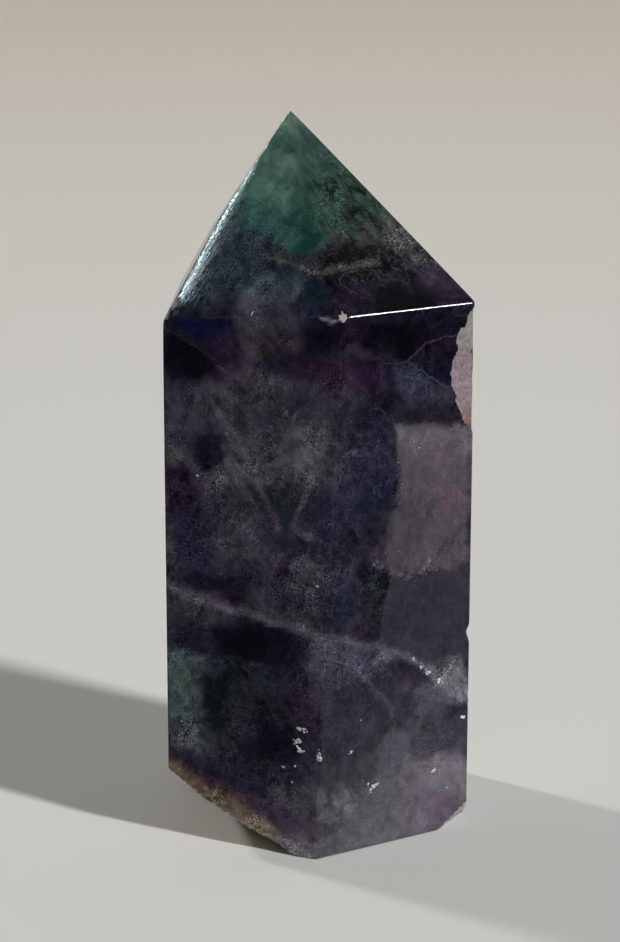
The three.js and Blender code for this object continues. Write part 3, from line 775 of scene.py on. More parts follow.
def painted_glow_of_thin_edge(points):
    """The painted glow of light through the thin broken edge, and its share: both read off the depth behind
    the break, uneven by noise, and the share fades out to the right."""
    depth = (broken_reaches[:2] - points @ broken_normals[:2].T).min(axis=1)
    depth *= 1.15 + 0.3 * cloud(points, 2.6, 51)
    depth /= np.interp(points[:, 0], THIN_EDGE_PLACES, THIN_EDGE_BREADTHS)
    depths, colours = zip(*THIN_EDGE_GLOW)
    colour = blended(depth, depths, [linear(colour) for colour in colours])
    colour *= np.interp(points[:, 0], THIN_EDGE_PLACES, THIN_EDGE_LIGHTS)[:, None]
    share = THIN_EDGE_SHARE * smooth((THIN_EDGE_DEPTH - depth) / THIN_EDGE_FADE)
    return colour, share * smooth((THIN_EDGE_END - points[:, 0]) / THIN_EDGE_RUN)


def stone_tint(points):
    """Colour and cloudiness at each point: the bands, then the drawn colours, and last the painted glow of
    the thin edge.
    """
    near = smooth((FRONT_REACH - depth_behind_front(points)) / FRONT_FADE)
    tint = drawn_colours(points, near, grown_bands(points, near))
    # The painted glow of light shining through the thin broken edge.
    colour, share = painted_glow_of_thin_edge(points)
    tint[:, :3] += share[:, None] * (colour - tint[:, :3])
    return tint


def new_piece(name, points, faces):
    """A mesh object from points in mm, which rides on the one body."""
    mesh = bpy.data.meshes.new(name)
    mesh.from_pydata((points * MM).tolist(), [], faces)
    mesh.shade_smooth()
    piece = bpy.data.objects.new(name, mesh)
    bpy.context.scene.collection.objects.link(piece)
    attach(piece, "root")
    return piece


def new_material(name):
    """An empty node material, and its node tree."""
    material = bpy.data.materials.new(name)
    material.use_nodes = True
    material.node_tree.nodes.clear()
    return material, material.node_tree


def add(tree, kind, sockets={}, **settings):
    """Adds a shader node of that kind with its settings, gives each input its value or another node's output,
    and returns the node's first output in use."""
    made = tree.nodes.new("ShaderNode" + kind)
    for name, value in settings.items():
        setattr(made, name, value)
    for name, value in sockets.items():
        if isinstance(name, str):
            socket = next(s for s in made.inputs if s.enabled and s.name == name)
        else:
            socket = made.inputs[name]
        if isinstance(value, bpy.types.NodeSocket):
            tree.links.new(value, socket)
        else:
            socket.default_value = value
    return next((s for s in made.outputs if s.enabled), made)


# Thin lines where healed cracks come out at the front: start, end, the way they go in, width, brightness.
SEAMS = {
    "left shoulder crack, high": ((-18.4, -11.4, 64.9), (-12.4, -14.1, 61.5), (0.2, 0.9, -0.3), 0.16, 0.16),
    "left shoulder crack, low": ((-12.5, -14.1, 60.9), (-9.4, -15.5, 59.6), (0.2, 0.9, -0.3), 0.16, 0.45),
    "left shoulder crack, end": ((-9.4, -15.5, 59.6), (-7.6, -16.3, 59.6), (0.2, 0.9, -0.3), 0.13, 0.25),
    "over the triangle": ((-9.8, -15.7, 46.6), (-2.0, -19.1, 47.0), (0.2, 0.9, 0.3), 0.12, 0.1),
    "two lines over the girdle, high": (
        (-11.9, -13.5, 67.9), (-2.5, -17.7, 68.6), (0.3, 0.9, 0.0), 0.12, 0.12),
    "upper right, top": ((17.0, -12.0, 63.9), (12.7, -14.4, 63.7), (0.0, 0.8, 0.5), 0.16, 0.3),
    "upper right, side": ((12.7, -14.4, 63.7), (10.7, -15.7, 61.6), (0.0, 0.8, 0.5), 0.2, 0.35),
    "upper right, low": ((10.7, -15.7, 61.6), (15.6, -12.4, 57.8), (0.2, 0.9, 0.1), 0.14, 0.4),
    "upper right, in": ((7.6, -17.5, 61.9), (10.7, -15.7, 61.6), (0.2, 0.9, 0.1), 0.16, 0.25),
    "girdle, left": ((-14.0, -13.3, 66.6), (2.6, -20.6, 68.0), (0.3, 0.9, 0.0), 0.13, 0.22),
    "window left": ((9.5, -16.3, 54.1), (9.4, -16.2, 43.4), (0.4, 0.9, 0.0), 0.13, 0.2),
    "window left, upper": ((6.5, -18.0, 56.6), (9.4, -16.2, 54.3), (0.4, 0.9, 0.2), 0.13, 0.3),
    "triangle top": ((-6.9, -17.0, 46.2), (-1.9, -19.2, 46.8), (0.2, 0.9, 0.3), 0.12, 0.15),
    "thin line, high": ((8.9, -15.9, 35.2), (7.7, -16.8, 28.8), (0.1, 1.0, 0.0), 0.13, 0.3),
    "thin line, low": ((7.7, -16.8, 28.8), (8.1, -16.3, 25.6), (0.1, 1.0, 0.0), 0.13, 0.2),
    "branch, high": ((-0.5, -20.3, 28.2), (4.4, -18.7, 24.1), (0.2, 0.9, 0.4), 0.18, 0.45),
    "branch, middle": ((4.4, -18.7, 24.1), (9.1, -15.5, 18.1), (0.2, 0.9, 0.3), 0.14, 0.35),
    "branch, low": ((9.1, -15.5, 18.1), (9.3, -15.3, 15.1), (0.2, 0.9, 0.3), 0.13, 0.3),
    "branch, across": ((4.7, -18.5, 23.6), (8.1, -16.3, 25.4), (0.2, 0.9, 0.3), 0.15, 0.35),
    "lens foot, left": ((-19.1, -12.1, 24.6), (-15.9, -13.4, 24.6), (0.0, 0.9, 0.3), 0.14, 0.2),
    "lens foot, middle": ((-15.9, -13.4, 24.6), (-12.9, -14.8, 24.1), (0.0, 0.9, 0.3), 0.14, 0.25),
    "middle line": ((2.5, -20.6, 51.2), (8.8, -16.5, 50.5), (0.0, 1.0, 0.2), 0.1, 0.2),
    "window line": ((9.4, -16.1, 50.2), (18.6, -10.2, 49.2), (0.0, 1.0, 0.1), 0.1, 0.1),
    "layer, high": ((-18.4, -12.0, 10.3), (-9.0, -16.5, 7.4), (0.3, 0.9, 0.0), 0.12, 0.15),
    "layer, low": ((-13.0, -14.6, 7.6), (-6.0, -17.9, 6.2), (0.3, 0.9, 0.0), 0.12, 0.2),
}
# A seam fades out between these distances inside and outside its ends.
SEAM_END_IN, SEAM_END_OUT = 0.2, 0.3


def in_millimetres(tree):
    """The object's own coordinates, times 1000."""
    place = add(tree, "TexCoord").node.outputs["Object"]
    return add(tree, "Mapping", {"Vector": place, "Scale": (1 / MM,) * 3})


def fading_from(tree, value, level, near, far, bright=1.0):
    """bright where the value is within near of a level, and 0 where it is far or more away: a straight ramp
    of abs(value - level)."""
    away = add(tree, "Math", {0: value, 1: level}, operation="SUBTRACT")
    away = add(tree, "Math", {0: away}, operation="ABSOLUTE")
    return add(tree, "MapRange", {"Value": away, "From Min": near, "From Max": far, "To Min": bright,
               "To Max": 0.0})


def seam(tree, place, start, end, inward, width):
    """1 on the line where a flat crack meets the surface, 0 away from it: the distance to the plane through
    start, end and the way in, and a soft stop past each end."""
    start, end = np.array(start, float), np.array(end, float)
    along = end - start
    length = np.linalg.norm(along)
    along = along / length
    normal = np.cross(along, inward)
    normal = normal / np.linalg.norm(normal)
    middle = (start + end) / 2
    off = add(tree, "VectorMath", {0: place, 1: tuple(normal)}, operation="DOT_PRODUCT")
    line = fading_from(tree, off, float(normal @ middle), 0.0, width)
    run = add(tree, "VectorMath", {0: place, 1: tuple(along)}, operation="DOT_PRODUCT")
    ends = fading_from(tree, run, float(along @ middle), length / 2 - SEAM_END_IN, length / 2 + SEAM_END_OUT)
    return add(tree, "Math", {0: line, 1: ends}, operation="MULTIPLY")


FLUORITE_IOR = 1.434
SOAK_COLOUR, SOAK_DENSITY = (0.42, 0.38, 0.50, 1), 190.0


def finish_body(tree, surface):
    """Gives the output a surface and the colour that the stone soaks up along the light's way."""
    soak = add(tree, "VolumeAbsorption", {"Color": SOAK_COLOUR, "Density": SOAK_DENSITY})
    add(tree, "OutputMaterial", {"Surface": surface, "Volume": soak})


# What shows in the polished stone, sizes in mm.
DRIFT_SIZE, FIELD_SIZE, CLOT_SIZE, GRAIN_SIZE = 2.4, 4.0, 0.9, 0.2
THREAD_SIZE, WISP_SIZE, CRACK_SIZE, CRUMB_SIZE, SPECK_SIZE = 4.5, 1.7, 7.0, 0.5, 1.0
BENT_BY, BARELY_BENT_BY = 1.5, 0.6
# Strands of haze: lean in degrees, width, depth and length.
STRANDS = ((37, 0.8, 2.5, 6.0), (-28, 0.9, 2.5, 5.0))
# Lines from the wheel, and scratches: lean, and how often they repeat in 1 mm across, inward and along.
WHEEL_LEAN, WHEEL_LINES = 0, (3.4, 3.4, 0.1)
SCRATCH_LEAN, SCRATCHES = -32, (4.5, 1.5, 0.4)
CRACK_WHITE, SPECK_WHITE = "#cfc8da", "#e6e4ea"


def drawn_out(tree, place, lean, repeats):
    """Noise drawn out one way: read at coordinates turned by lean about Y, times how often it repeats."""
    turned = add(tree, "Mapping", {"Vector": place, "Rotation": (0.0, math.radians(lean), 0.0)})
    return add(tree, "Mapping", {"Vector": turned, "Scale": repeats})


def strands_of_haze(tree, bent, fields):
    """Noise in strands that lean one way in some fields and the other way in the rest."""
    strands = []
    for lean, *sizes in STRANDS:
        run = drawn_out(tree, bent, lean, tuple(1 / size for size in sizes))
        run = add(tree, "TexNoise", {"Vector": run, "Scale": 1.0, "Detail": 2.0, "Roughness": 0.55})
        strands.append(run)
    which = add(tree, "MapRange", {"Value": fields, "From Min": 0.46, "From Max": 0.54})
    return add(tree, "Mix", {"Factor": which, "A": strands[0], "B": strands[1]})


def unevenness(tree, cloudy, drift, clots, strand, grain, fields):
    """How bright the tint is: 1 plus drifts, clots and strands, more so where it is cloudy, times fine grains
    that are strong in some fields."""
    drift_light = add(tree, "MapRange", {"Value": drift, "From Min": 0.36, "From Max": 0.66,
                      "To Min": -0.45, "To Max": 0.6})
    clot_light = add(tree, "MapRange", {"Value": clots, "From Min": 0.36, "From Max": 0.66,
                     "To Min": -0.35, "To Max": 0.35})
    strand_light = add(tree, "MapRange", {"Value": strand, "From Min": 0.38, "From Max": 0.64,
                       "To Min": -0.35, "To Max": 0.55})
    structure = add(tree, "Math", {0: clot_light, 1: strand_light}, operation="ADD")
    structure = add(tree, "Math", {0: structure, 1: drift_light}, operation="ADD")
    shows = add(tree, "Math", {0: cloudy, 1: 0.85, 2: 0.27}, operation="MULTIPLY_ADD")
    structure = add(tree, "Math", {0: structure, 1: shows, 2: 1.0}, operation="MULTIPLY_ADD")
    structure = add(tree, "Math", {0: structure, 1: 0.2}, operation="MAXIMUM")
    grain_light = add(tree, "MapRange", {"Value": grain, "From Min": 0.34, "From Max": 0.7,
                      "To Min": -0.95, "To Max": 1.3})
    where = add(tree, "MapRange", {"Value": fields, "From Min": 0.42, "From Max": 0.6,
                "To Min": 0.2, "To Max": 1.45})
    much = add(tree, "Math", {0: cloudy, 1: 1.05, 2: 0.12}, operation="MULTIPLY_ADD")
    much = add(tree, "Math", {0: much, 1: where}, operation="MULTIPLY")
    grain_light = add(tree, "Math", {0: grain_light, 1: much, 2: 0.95}, operation="MULTIPLY_ADD")
    grain_light = add(tree, "Math", {0: grain_light, 1: 0.12}, operation="MAXIMUM")
    return add(tree, "Math", {0: structure, 1: grain_light}, operation="MULTIPLY")


def healed_cracks(tree, place, bend, bent, cloudy, strand, grain, shown):
    """Pale lines: threads, wisps and fibres where noise crosses its middle, cracks between the cells of a
    Voronoi pattern, and the seams; the brightest counts, and fine grains break them up."""
    threads = add(tree, "TexNoise", {"Vector": bent, "Scale": 1 / THREAD_SIZE, "Detail": 1.5,
                  "Roughness": 0.5})
    threads = fading_from(tree, threads, 0.5, 0.0, 0.014, 0.32)
    wisps = add(tree, "TexNoise", {"Vector": bent, "Scale": 1 / WISP_SIZE, "Detail": 1.0, "Roughness": 0.5})
    wisps = fading_from(tree, wisps, 0.52, 0.0, 0.03, 0.22)
    fibres = fading_from(tree, strand, 0.5, 0.0, 0.02, 0.27)
    for some in (wisps, fibres):
        some = add(tree, "Math", {0: some, 1: shown}, operation="MULTIPLY")
        threads = add(tree, "Math", {0: threads, 1: some}, operation="MAXIMUM")
    threads = add(tree, "Math", {0: threads, 1: cloudy}, operation="MULTIPLY")
    aside = add(tree, "VectorMath", {0: bend, 1: (BARELY_BENT_BY,) * 3, 2: place}, operation="MULTIPLY_ADD")
    cracks = add(tree, "TexVoronoi", {"Vector": aside, "Scale": 1 / CRACK_SIZE}, feature="DISTANCE_TO_EDGE")
    cracks = add(tree, "MapRange", {"Value": cracks, "From Max": 0.016, "To Min": 0.2, "To Max": 0.0})
    cracks = add(tree, "Math", {0: cracks, 1: shown}, operation="MULTIPLY")
    pale = add(tree, "MapRange", {"Value": cloudy, "From Min": 0.1, "From Max": 0.5})
    cracks = add(tree, "Math", {0: cracks, 1: pale}, operation="MULTIPLY")
    lines = add(tree, "Math", {0: threads, 1: cracks}, operation="MAXIMUM")
    for start, end, inward, width, bright in SEAMS.values():
        one = seam(tree, bent, start, end, inward, width)
        one = add(tree, "Math", {0: one, 1: bright}, operation="MULTIPLY")
        lines = add(tree, "Math", {0: lines, 1: one}, operation="MAXIMUM")
    broken_up = add(tree, "MapRange", {"Value": grain, "From Min": 0.35, "From Max": 0.6, "To Min": 0.4})
    return add(tree, "Math", {0: lines, 1: broken_up}, operation="MULTIPLY")


def dots(tree, place, apart, cloudy, bias, least, most, widest):
    """Where a dot may be, and how wide it is: the distance to a random point in each cell, and a width for
    the few cells whose random number, raised where it is cloudy, is high."""
    cells = add(tree, "TexVoronoi", {"Vector": place, "Scale": 1 / apart})
    pick = add(tree, "SeparateColor", {"Color": cells.node.outputs["Color"]})
    pick = add(tree, "Math", {0: cloudy, 1: bias, 2: pick}, operation="MULTIPLY_ADD")
    width = add(tree, "MapRange", {"Value": pick, "From Min": least, "From Max": most, "To Max": widest})
    return cells, width


def polished_fluorite():
    """Fluorite, ground and polished: see-through, IOR 1.434, a little violet. Tiny bubbles make it grainy
    where it is cloudy, threads of healed cracks cross it, and the wheel has left fine upright lines."""
    material, tree = new_material("polished fluorite")
    place = in_millimetres(tree)
    tint = add(tree, "Attribute", attribute_name="tint", attribute_type="GEOMETRY")
    cloudy = tint.node.outputs["Alpha"]
    drift = add(tree, "TexNoise", {"Vector": place, "Scale": 1 / DRIFT_SIZE, "Detail": 5.0,
                "Roughness": 0.66})
    bend = add(tree, "VectorMath", {0: drift.node.outputs["Color"], 1: (0.5,) * 3}, operation="SUBTRACT")
    bent = add(tree, "VectorMath", {0: bend, 1: (BENT_BY,) * 3, 2: place}, operation="MULTIPLY_ADD")
    clots = add(tree, "TexNoise", {"Vector": bent, "Scale": 1 / CLOT_SIZE, "Detail": 3.0,
                "Roughness": 0.6})
    grain = add(tree, "TexNoise", {"Vector": place, "Scale": 1 / GRAIN_SIZE, "Detail": 1.0,
                "Roughness": 0.7})
    fields = add(tree, "TexNoise", {"Vector": bent, "Scale": 1 / FIELD_SIZE, "Detail": 2.0,
                 "Roughness": 0.5})
    strand = strands_of_haze(tree, bent, fields)
    strength = unevenness(tree, cloudy, drift, clots, strand, grain, fields)
    wheel = drawn_out(tree, place, WHEEL_LEAN, WHEEL_LINES)
    wheel = add(tree, "TexNoise", {"Vector": wheel, "Scale": 1.0, "Detail": 3.0, "Roughness": 0.7})
    lines_light = add(tree, "MapRange", {"Value": wheel, "From Min": 0.35, "From Max": 0.65,
                      "To Min": 0.88, "To Max": 1.12})
    strength = add(tree, "Math", {0: strength, 1: lines_light}, operation="MULTIPLY")
    colour = add(tree, "VectorMath", {0: tint, "Scale": strength}, operation="SCALE")

    shown = add(tree, "MapRange", {"Value": clots, "From Min": 0.42, "From Max": 0.6})
    lines = healed_cracks(tree, place, bend, bent, cloudy, strand, grain, shown)
    crumbs, width = dots(tree, place, CRUMB_SIZE, cloudy, 0.3, 0.95, 1.3, 0.3)
    crumbs = add(tree, "Math", {0: width, 1: crumbs}, operation="SUBTRACT")
    crumbs = add(tree, "MapRange", {"Value": crumbs, "From Max": 0.12, "To Max": 0.26})
    crumbs = add(tree, "Math", {0: crumbs, 1: shown}, operation="MULTIPLY")
    lines = add(tree, "Math", {0: lines, 1: crumbs}, operation="MAXIMUM")
    specks, width = dots(tree, place, SPECK_SIZE, cloudy, 0.14, 0.98, 1.12, 0.13)
    specks = add(tree, "Math", {0: specks, 1: width}, operation="LESS_THAN")
    specks = add(tree, "Math", {0: specks, 1: 0.6}, operation="MULTIPLY")
    for share, white in ((lines, CRACK_WHITE), (specks, SPECK_WHITE)):
        white = (*linear(white), 1)
        colour = add(tree, "Mix", {"Factor": share, "A": colour, "B": white}, data_type="RGBA")

    wear = add(tree, "Attribute", attribute_name="wear", attribute_type="GEOMETRY").node.outputs["Fac"]
    scratch = drawn_out(tree, place, SCRATCH_LEAN, SCRATCHES)
    scratch = add(tree, "TexNoise", {"Vector": scratch, "Scale": 1.0, "Detail": 2.0, "Roughness": 0.8})
    rough = add(tree, "MapRange", {"Value": wheel, "From Min": 0.4, "From Max": 0.7,
                "To Min": 0.08, "To Max": 0.15})
    worn = add(tree, "MapRange", {"Value": scratch, "From Min": 0.42, "From Max": 0.6,
               "To Min": 0.0, "To Max": 0.42})
    rough = add(tree, "Math", {0: worn, 1: wear, 2: rough}, operation="MULTIPLY_ADD")
    dents = add(tree, "Math", {0: scratch, 1: wear}, operation="MULTIPLY")
    dents = add(tree, "Math", {0: wheel, 1: 0.35, 2: dents}, operation="MULTIPLY_ADD")
    bump = add(tree, "Bump", {"Height": dents, "Strength": 0.3, "Distance": 0.0001})
    shader = add(tree, "BsdfPrincipled", {"Base Color": colour, "Roughness": rough, "Normal": bump,
                 "Transmission Weight": 0.75, "IOR": FLUORITE_IOR})
    finish_body(tree, shader)
    return material


CLEAVAGE_FROST, POWDER_WHITE = "#b9ab98", "#f0ecee"


def broken_fluorite():
    """Fluorite where it has broken: small steps along its cleavage, waxy, a little paler than the polish."""
    material, tree = new_material("broken fluorite")
    place = in_millimetres(tree)
    tint = add(tree, "Attribute", attribute_name="tint", attribute_type="GEOMETRY")
    steps = add(tree, "TexNoise", {"Vector": place, "Scale": 1 / 0.9, "Detail": 4.0, "Roughness": 0.7})
    light = add(tree, "MapRange", {"Value": steps, "From Min": 0.35, "From Max": 0.68, "To Min": 0.5,
                "To Max": 0.95})
    colour = add(tree, "VectorMath", {0: tint, "Scale": light}, operation="SCALE")
    frost = add(tree, "MapRange", {"Value": steps, "From Min": 0.6, "From Max": 0.74, "To Min": 0.0,
                "To Max": 0.25})
    powder = add(tree, "Attribute", attribute_name="powder", attribute_type="GEOMETRY").node.outputs["Fac"]
    packed = add(tree, "MapRange", {"Value": steps, "From Min": 0.3, "From Max": 0.5, "To Min": 0.3})
    powder = add(tree, "Math", {0: powder, 1: packed}, operation="MULTIPLY")
    for share, white in ((frost, CLEAVAGE_FROST), (powder, POWDER_WHITE)):
        white = (*linear(white), 1)
        colour = add(tree, "Mix", {"Factor": share, "A": colour, "B": white}, data_type="RGBA")
    crumbs = add(tree, "TexVoronoi", {"Vector": place, "Scale": 1 / 0.45})
    bump = add(tree, "Bump", {"Height": crumbs, "Strength": 0.15, "Distance": 0.0001})
    shader = add(tree, "BsdfPrincipled", {"Base Color": colour, "Roughness": 0.42, "Normal": bump,
                 "Transmission Weight": 0.45, "IOR": FLUORITE_IOR})
    finish_body(tree, shader)
    return material


def natural_skin():
    """The outside of the crystal as it was dug up: a thin chalky rind, pinkish, stained by iron low down."""
    material, tree = new_material("natural rind")
    place = in_millimetres(tree)
    uneven = add(tree, "TexNoise", {"Vector": place, "Scale": 1 / 1.2, "Detail": 5.0, "Roughness": 0.7})
    height = add(tree, "SeparateXYZ", {"Vector": place}).node.outputs["Z"]
    height = add(tree, "Math", {0: uneven, 1: 6.0, 2: height}, operation="MULTIPLY_ADD")
    share = add(tree, "MapRange", {"Value": height, "From Min": 55.5, "From Max": 71.0})
    colours = add(tree, "ValToRGB", {"Fac": share})
    stops = colours.node.color_ramp.elements
    for at, colour in ((0.1, "#8a6a66"), (0.2, "#958289"), (0.55, "#8d7c84"), (0.8, "#928e8a")):
        stops.new(at).color = (*linear(colour), 1)
    stops[0].color = (*linear("#704c48"), 1)
    stops[-1].color = (*linear("#86867e"), 1)
    fleck = add(tree, "TexNoise", {"Vector": place, "Scale": 1 / 0.5, "Detail": 3.0, "Roughness": 0.7})
    fleck = add(tree, "MapRange", {"Value": fleck, "From Min": 0.35, "From Max": 0.65, "To Min": 0.7,
                "To Max": 1.3})
    colour = add(tree, "VectorMath", {0: colours, "Scale": fleck}, operation="SCALE")
    bump = add(tree, "Bump", {"Height": uneven, "Strength": 0.6, "Distance": 0.0004})
    shader = add(tree, "BsdfPrincipled", {"Base Color": colour, "Roughness": 0.5, "Normal": bump,
                 "Transmission Weight": 0.1, "IOR": FLUORITE_IOR})
    finish_body(tree, shader)
    return material


# Tones are given as they look. The body passes most light on, and each face gets its own share of light, so
# under each face the body is made this many times paler than its tone.
PALENESS = {
    ("side", "left front"): 7.2,
    ("side", "right front"): 4.0,
    ("facet", "left front"): 6.6,
    ("facet", "right front"): 4.0,
}
PALENESS_ELSEWHERE, MOST_PALE = 6.0, 0.95
plane_names = [("side", k) for k in SIDES] + [("facet", k) for k in POINT_FACETS] + [("foot", "")]
paleness = np.array([PALENESS.get(name, PALENESS_ELSEWHERE) for name in plane_names])


def store(piece, name, kind, values):
    """Keeps one value per point of a piece under a name that its materials read."""
    kept = piece.data.attributes.new(name, kind, "POINT").data
    kept.foreach_set("color" if kind == "FLOAT_COLOR" else "value", values.astype(np.float32).ravel())


# The wheel rolled over the left edge of the left front facet, most of all low down: how much it turned, how
# far in the roll and the wear show at the bottom and at the top, between which heights, and where they fade.
ROLL_TURN, ROLL_WIDTHS, WEAR_WIDTHS, ROLL_HEIGHTS = 14, (2.5, 0.5), (3.4, 0.8), (69, 84)
ROLL_FADE = (82, 87)
# All edges shade as if rounded this much, less from the first of these heights to the second, and only where
# nothing has been taken away.
ROLL_OF_EDGES, ROLL_OF_TOP_EDGES, TOP_EDGES = 0.11, 0.02, (78, 83)
LEAST_WHOLE, MOST_RIND = 0.3, 0.05
rolled, *over = [plane_names.index(("facet", name)) for name in ("left front", "left upper", "left lower")]


def rolled_share(points, widths):
    """1 at the left edge of the left front facet, 0 off that facet: exp(-distance / width) of the distance
    from the edge, with the width read off the height, faded out below the tip."""
    beyond = beyond_planes(points)
    across = np.sqrt(1 - (polished_normals[over] @ polished_normals[rolled]) ** 2)
    inward = (-beyond[:, over] / across).min(axis=1)
    fading = 1 - smooth((points[:, 2] - ROLL_FADE[0]) / (ROLL_FADE[1] - ROLL_FADE[0]))
    share = fading * np.exp(-inward / np.interp(points[:, 2], ROLL_HEIGHTS, widths))
    return np.where(beyond.argmax(axis=1) == rolled, share, 0)


def polished_way(points):
    """The way the polish faces: the sum of the planes' normals, each times exp(distance / softness), turned
    sideways by the tangent of the roll where the wheel rolled over."""
    beyond = beyond_planes(points)
    softness = np.interp(points[:, 2], TOP_EDGES, (ROLL_OF_EDGES, ROLL_OF_TOP_EDGES))[:, None]
    way = np.exp((beyond - beyond.max(axis=1)[:, None]) / softness) @ polished_normals
    way /= np.linalg.norm(way, axis=1)[:, None]
    facet, neighbour = polished_normals[rolled], polished_normals[over[0]]
    sideways = neighbour - (neighbour @ facet) * facet
    sideways /= np.linalg.norm(sideways)
    turned = math.tan(math.radians(ROLL_TURN)) * rolled_share(points, ROLL_WIDTHS)
    return way + turned[:, None] * sideways


stone = new_piece("fluorite_stone", skin, faces)
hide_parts("fluorite_tower")
tint = stone_tint(skin)
tint[:, :3] = np.clip(tint[:, :3] * paleness[beyond_planes(skin).argmax(axis=1)][:, None], 0, MOST_PALE)
store(stone, "tint", "FLOAT_COLOR", tint)
powder = POWDER_ON_CORNER * (skin @ broken_normals[2] - broken_reaches[2] > -CORNER_POWDER_REACH)
for centre, radius, white in SCOOPS.values():
    in_chip = np.linalg.norm(skin - centre, axis=1) < radius + CHIP_POWDER_REACH
    powder = np.maximum(powder, white * in_chip)
store(stone, "powder", "FLOAT", powder)
store(stone, "wear", "FLOAT", rolled_share(skin, WEAR_WIDTHS))

normals = np.empty(len(skin) * 3)
stone.data.vertex_normals.foreach_get("vector", normals)
whole = (taken_away(skin) < -LEAST_WHOLE) & (rind_share(skin) < MOST_RIND)
normals = np.where(whole[:, None], polished_way(skin), normals.reshape(-1, 3))
normals /= np.linalg.norm(normals, axis=1)[:, None]
stone.data.normals_split_custom_set_from_vertices(normals.tolist())

POLISHED, BROKEN, RIND = range(3)
for made in (polished_fluorite(), broken_fluorite(), natural_skin()):
    stone.data.materials.append(made)
caps = np.pad(np.concatenate([bottom, top]), ((0, 0), (0, 1)), mode="edge")
centres = skin[np.concatenate([quads, caps])].mean(axis=1)
slot = np.where(taken_away(centres) > beyond_planes(centres).max(axis=1) - 0.01, BROKEN, POLISHED)
slot = np.where((rind_share(centres) > 0.5) & (slot == POLISHED), RIND, slot)
stone.data.polygons.foreach_set("material_index", slot.astype(np.int32))

# ---------------------------------------------------------------------------------------------------------
# What is sealed in the stone. Cracks that healed while it grew are sheets of tiny flat bubbles, and where it
# grew fast there are clouds of rounder ones. Each bubble is a small eight-faced hollow, milky from outside.
# ---------------------------------------------------------------------------------------------------------

# Each healed crack starts at the band of haze of that name and runs in: drop and sideways shift for each mm
# of depth, how deep it goes, and how many bubbles it holds.
SHEETS = {
    "main band": (0.35, 0.15, 9.0, 1500),
    "upper strand": (0.5, 0.1, 5.0, 350),
    "branch": (0.4, -0.3, 7.0, 500),
    "column under the girdle": (0.1, 0.5, 5.0, 300),
    "fan below the shoulder": (-0.2, 0.4, 6.0, 450),
    "middle diagonal": (0.3, -0.4, 6.0, 450),
    "right of the triangle": (0.2, 0.5, 5.0, 350),
    "arc under the window": (0.6, 0.2, 6.0, 350),
    "edge of the bright cloud": (0.5, 0.2, 5.0, 450),
    "arc, low right": (-0.4, 0.1, 4.0, 250),
    "yellow veil": (0.6, 0.0, 5.0, 350),
    "green edge of the lens": (0.7, 0.0, 6.0, 300),
}
# How deep a sheet starts, how thick it is, how its bubbles crowd near the front, and its wave (size, height).
SHEET_START, SHEET_THICKNESS, SHEET_CROWDING, SHEET_WAVE = 0.45, 0.12, 1.6, (2.6, 0.35)
# Half the length of a bubble in mm, how uneven that is, and its three half axes as shares of it.
FLAT_BUBBLE, FLAT_UNEVEN, FLAT_SHAPE = 0.09, 0.35, (1, 0.7, 0.3)
ROUND_BUBBLE, ROUND_UNEVEN, ROUND_SHAPE = 0.07, 0.4, (1, 0.9, 0.8)
# The clouds: most bubbles, how many places are tried and in which box, and how deep they may lie.
CLOUD_BUBBLES, CLOUD_TRIES, CLOUD_BOX = 7500, 90000, ((-19, -21, 1), (19, 21, 88))
CLOUD_DEPTHS = (0.45, 7.0)


def turned_at_random(number, rng):
    """Three unit vectors at right angles for each bubble: two random ones, made square by cross products."""
    first, second = rng.normal(size=(2, number, 3))
    first /= np.linalg.norm(first, axis=1)[:, None]
    third = np.cross(first, second)
    third /= np.linalg.norm(third, axis=1)[:, None]
    return first, np.cross(third, first), third


def bubbles(name, centres, length, uneven, shape, rng):
    """Eight-faced solids as one piece: the six corners of each are its centre plus or minus its half axes,
    which are turned at random and are shares of its uneven half length."""
    axes = turned_at_random(len(centres), rng)
    size = length * rng.lognormal(0, uneven, len(centres))[:, None]
    half_axes = [axis * size * share for axis, share in zip(axes, shape)]
    corners = centres[:, None] + np.stack([way * axis for axis in half_axes for way in (1, -1)], 1)
    wound = np.array([(0, 2, 4), (2, 1, 4), (1, 3, 4), (3, 0, 4), (2, 0, 5), (1, 2, 5), (3, 1, 5), (0, 3, 5)])
    wound = (wound + 6 * np.arange(len(centres))[:, None, None]).reshape(-1, 3)
    return new_piece(name, corners.reshape(-1, 3), wound.tolist())


def crack_sheet(path, drop, sideways, deep, number, rng):
    """Points on a sheet that starts along a path on the front and runs in: a place along the path, a depth
    with more bubbles near the front, the drop and shift for that depth, and a slow wave."""
    path = np.array(path, float)
    runs = np.append(0, np.cumsum(np.hypot(*np.diff(path, axis=0).T)))
    part = rng.uniform(0, runs[-1], number)
    x, z = np.interp(part, runs, path[:, 0]), np.interp(part, runs, path[:, 1])
    depth = SHEET_START + (deep - SHEET_START) * rng.uniform(0, 1, number) ** SHEET_CROWDING
    outcrop = np.stack([x, np.zeros(number), z], -1)
    y = depth - depth_behind_front(outcrop)
    wave = layered(np.stack([part, depth, part * 0], -1), [SHEET_WAVE], 71)
    sheet = np.stack([x + sideways * depth, y, z - drop * depth + wave], -1)
    return sheet + rng.normal(0, SHEET_THICKNESS, (number, 3))


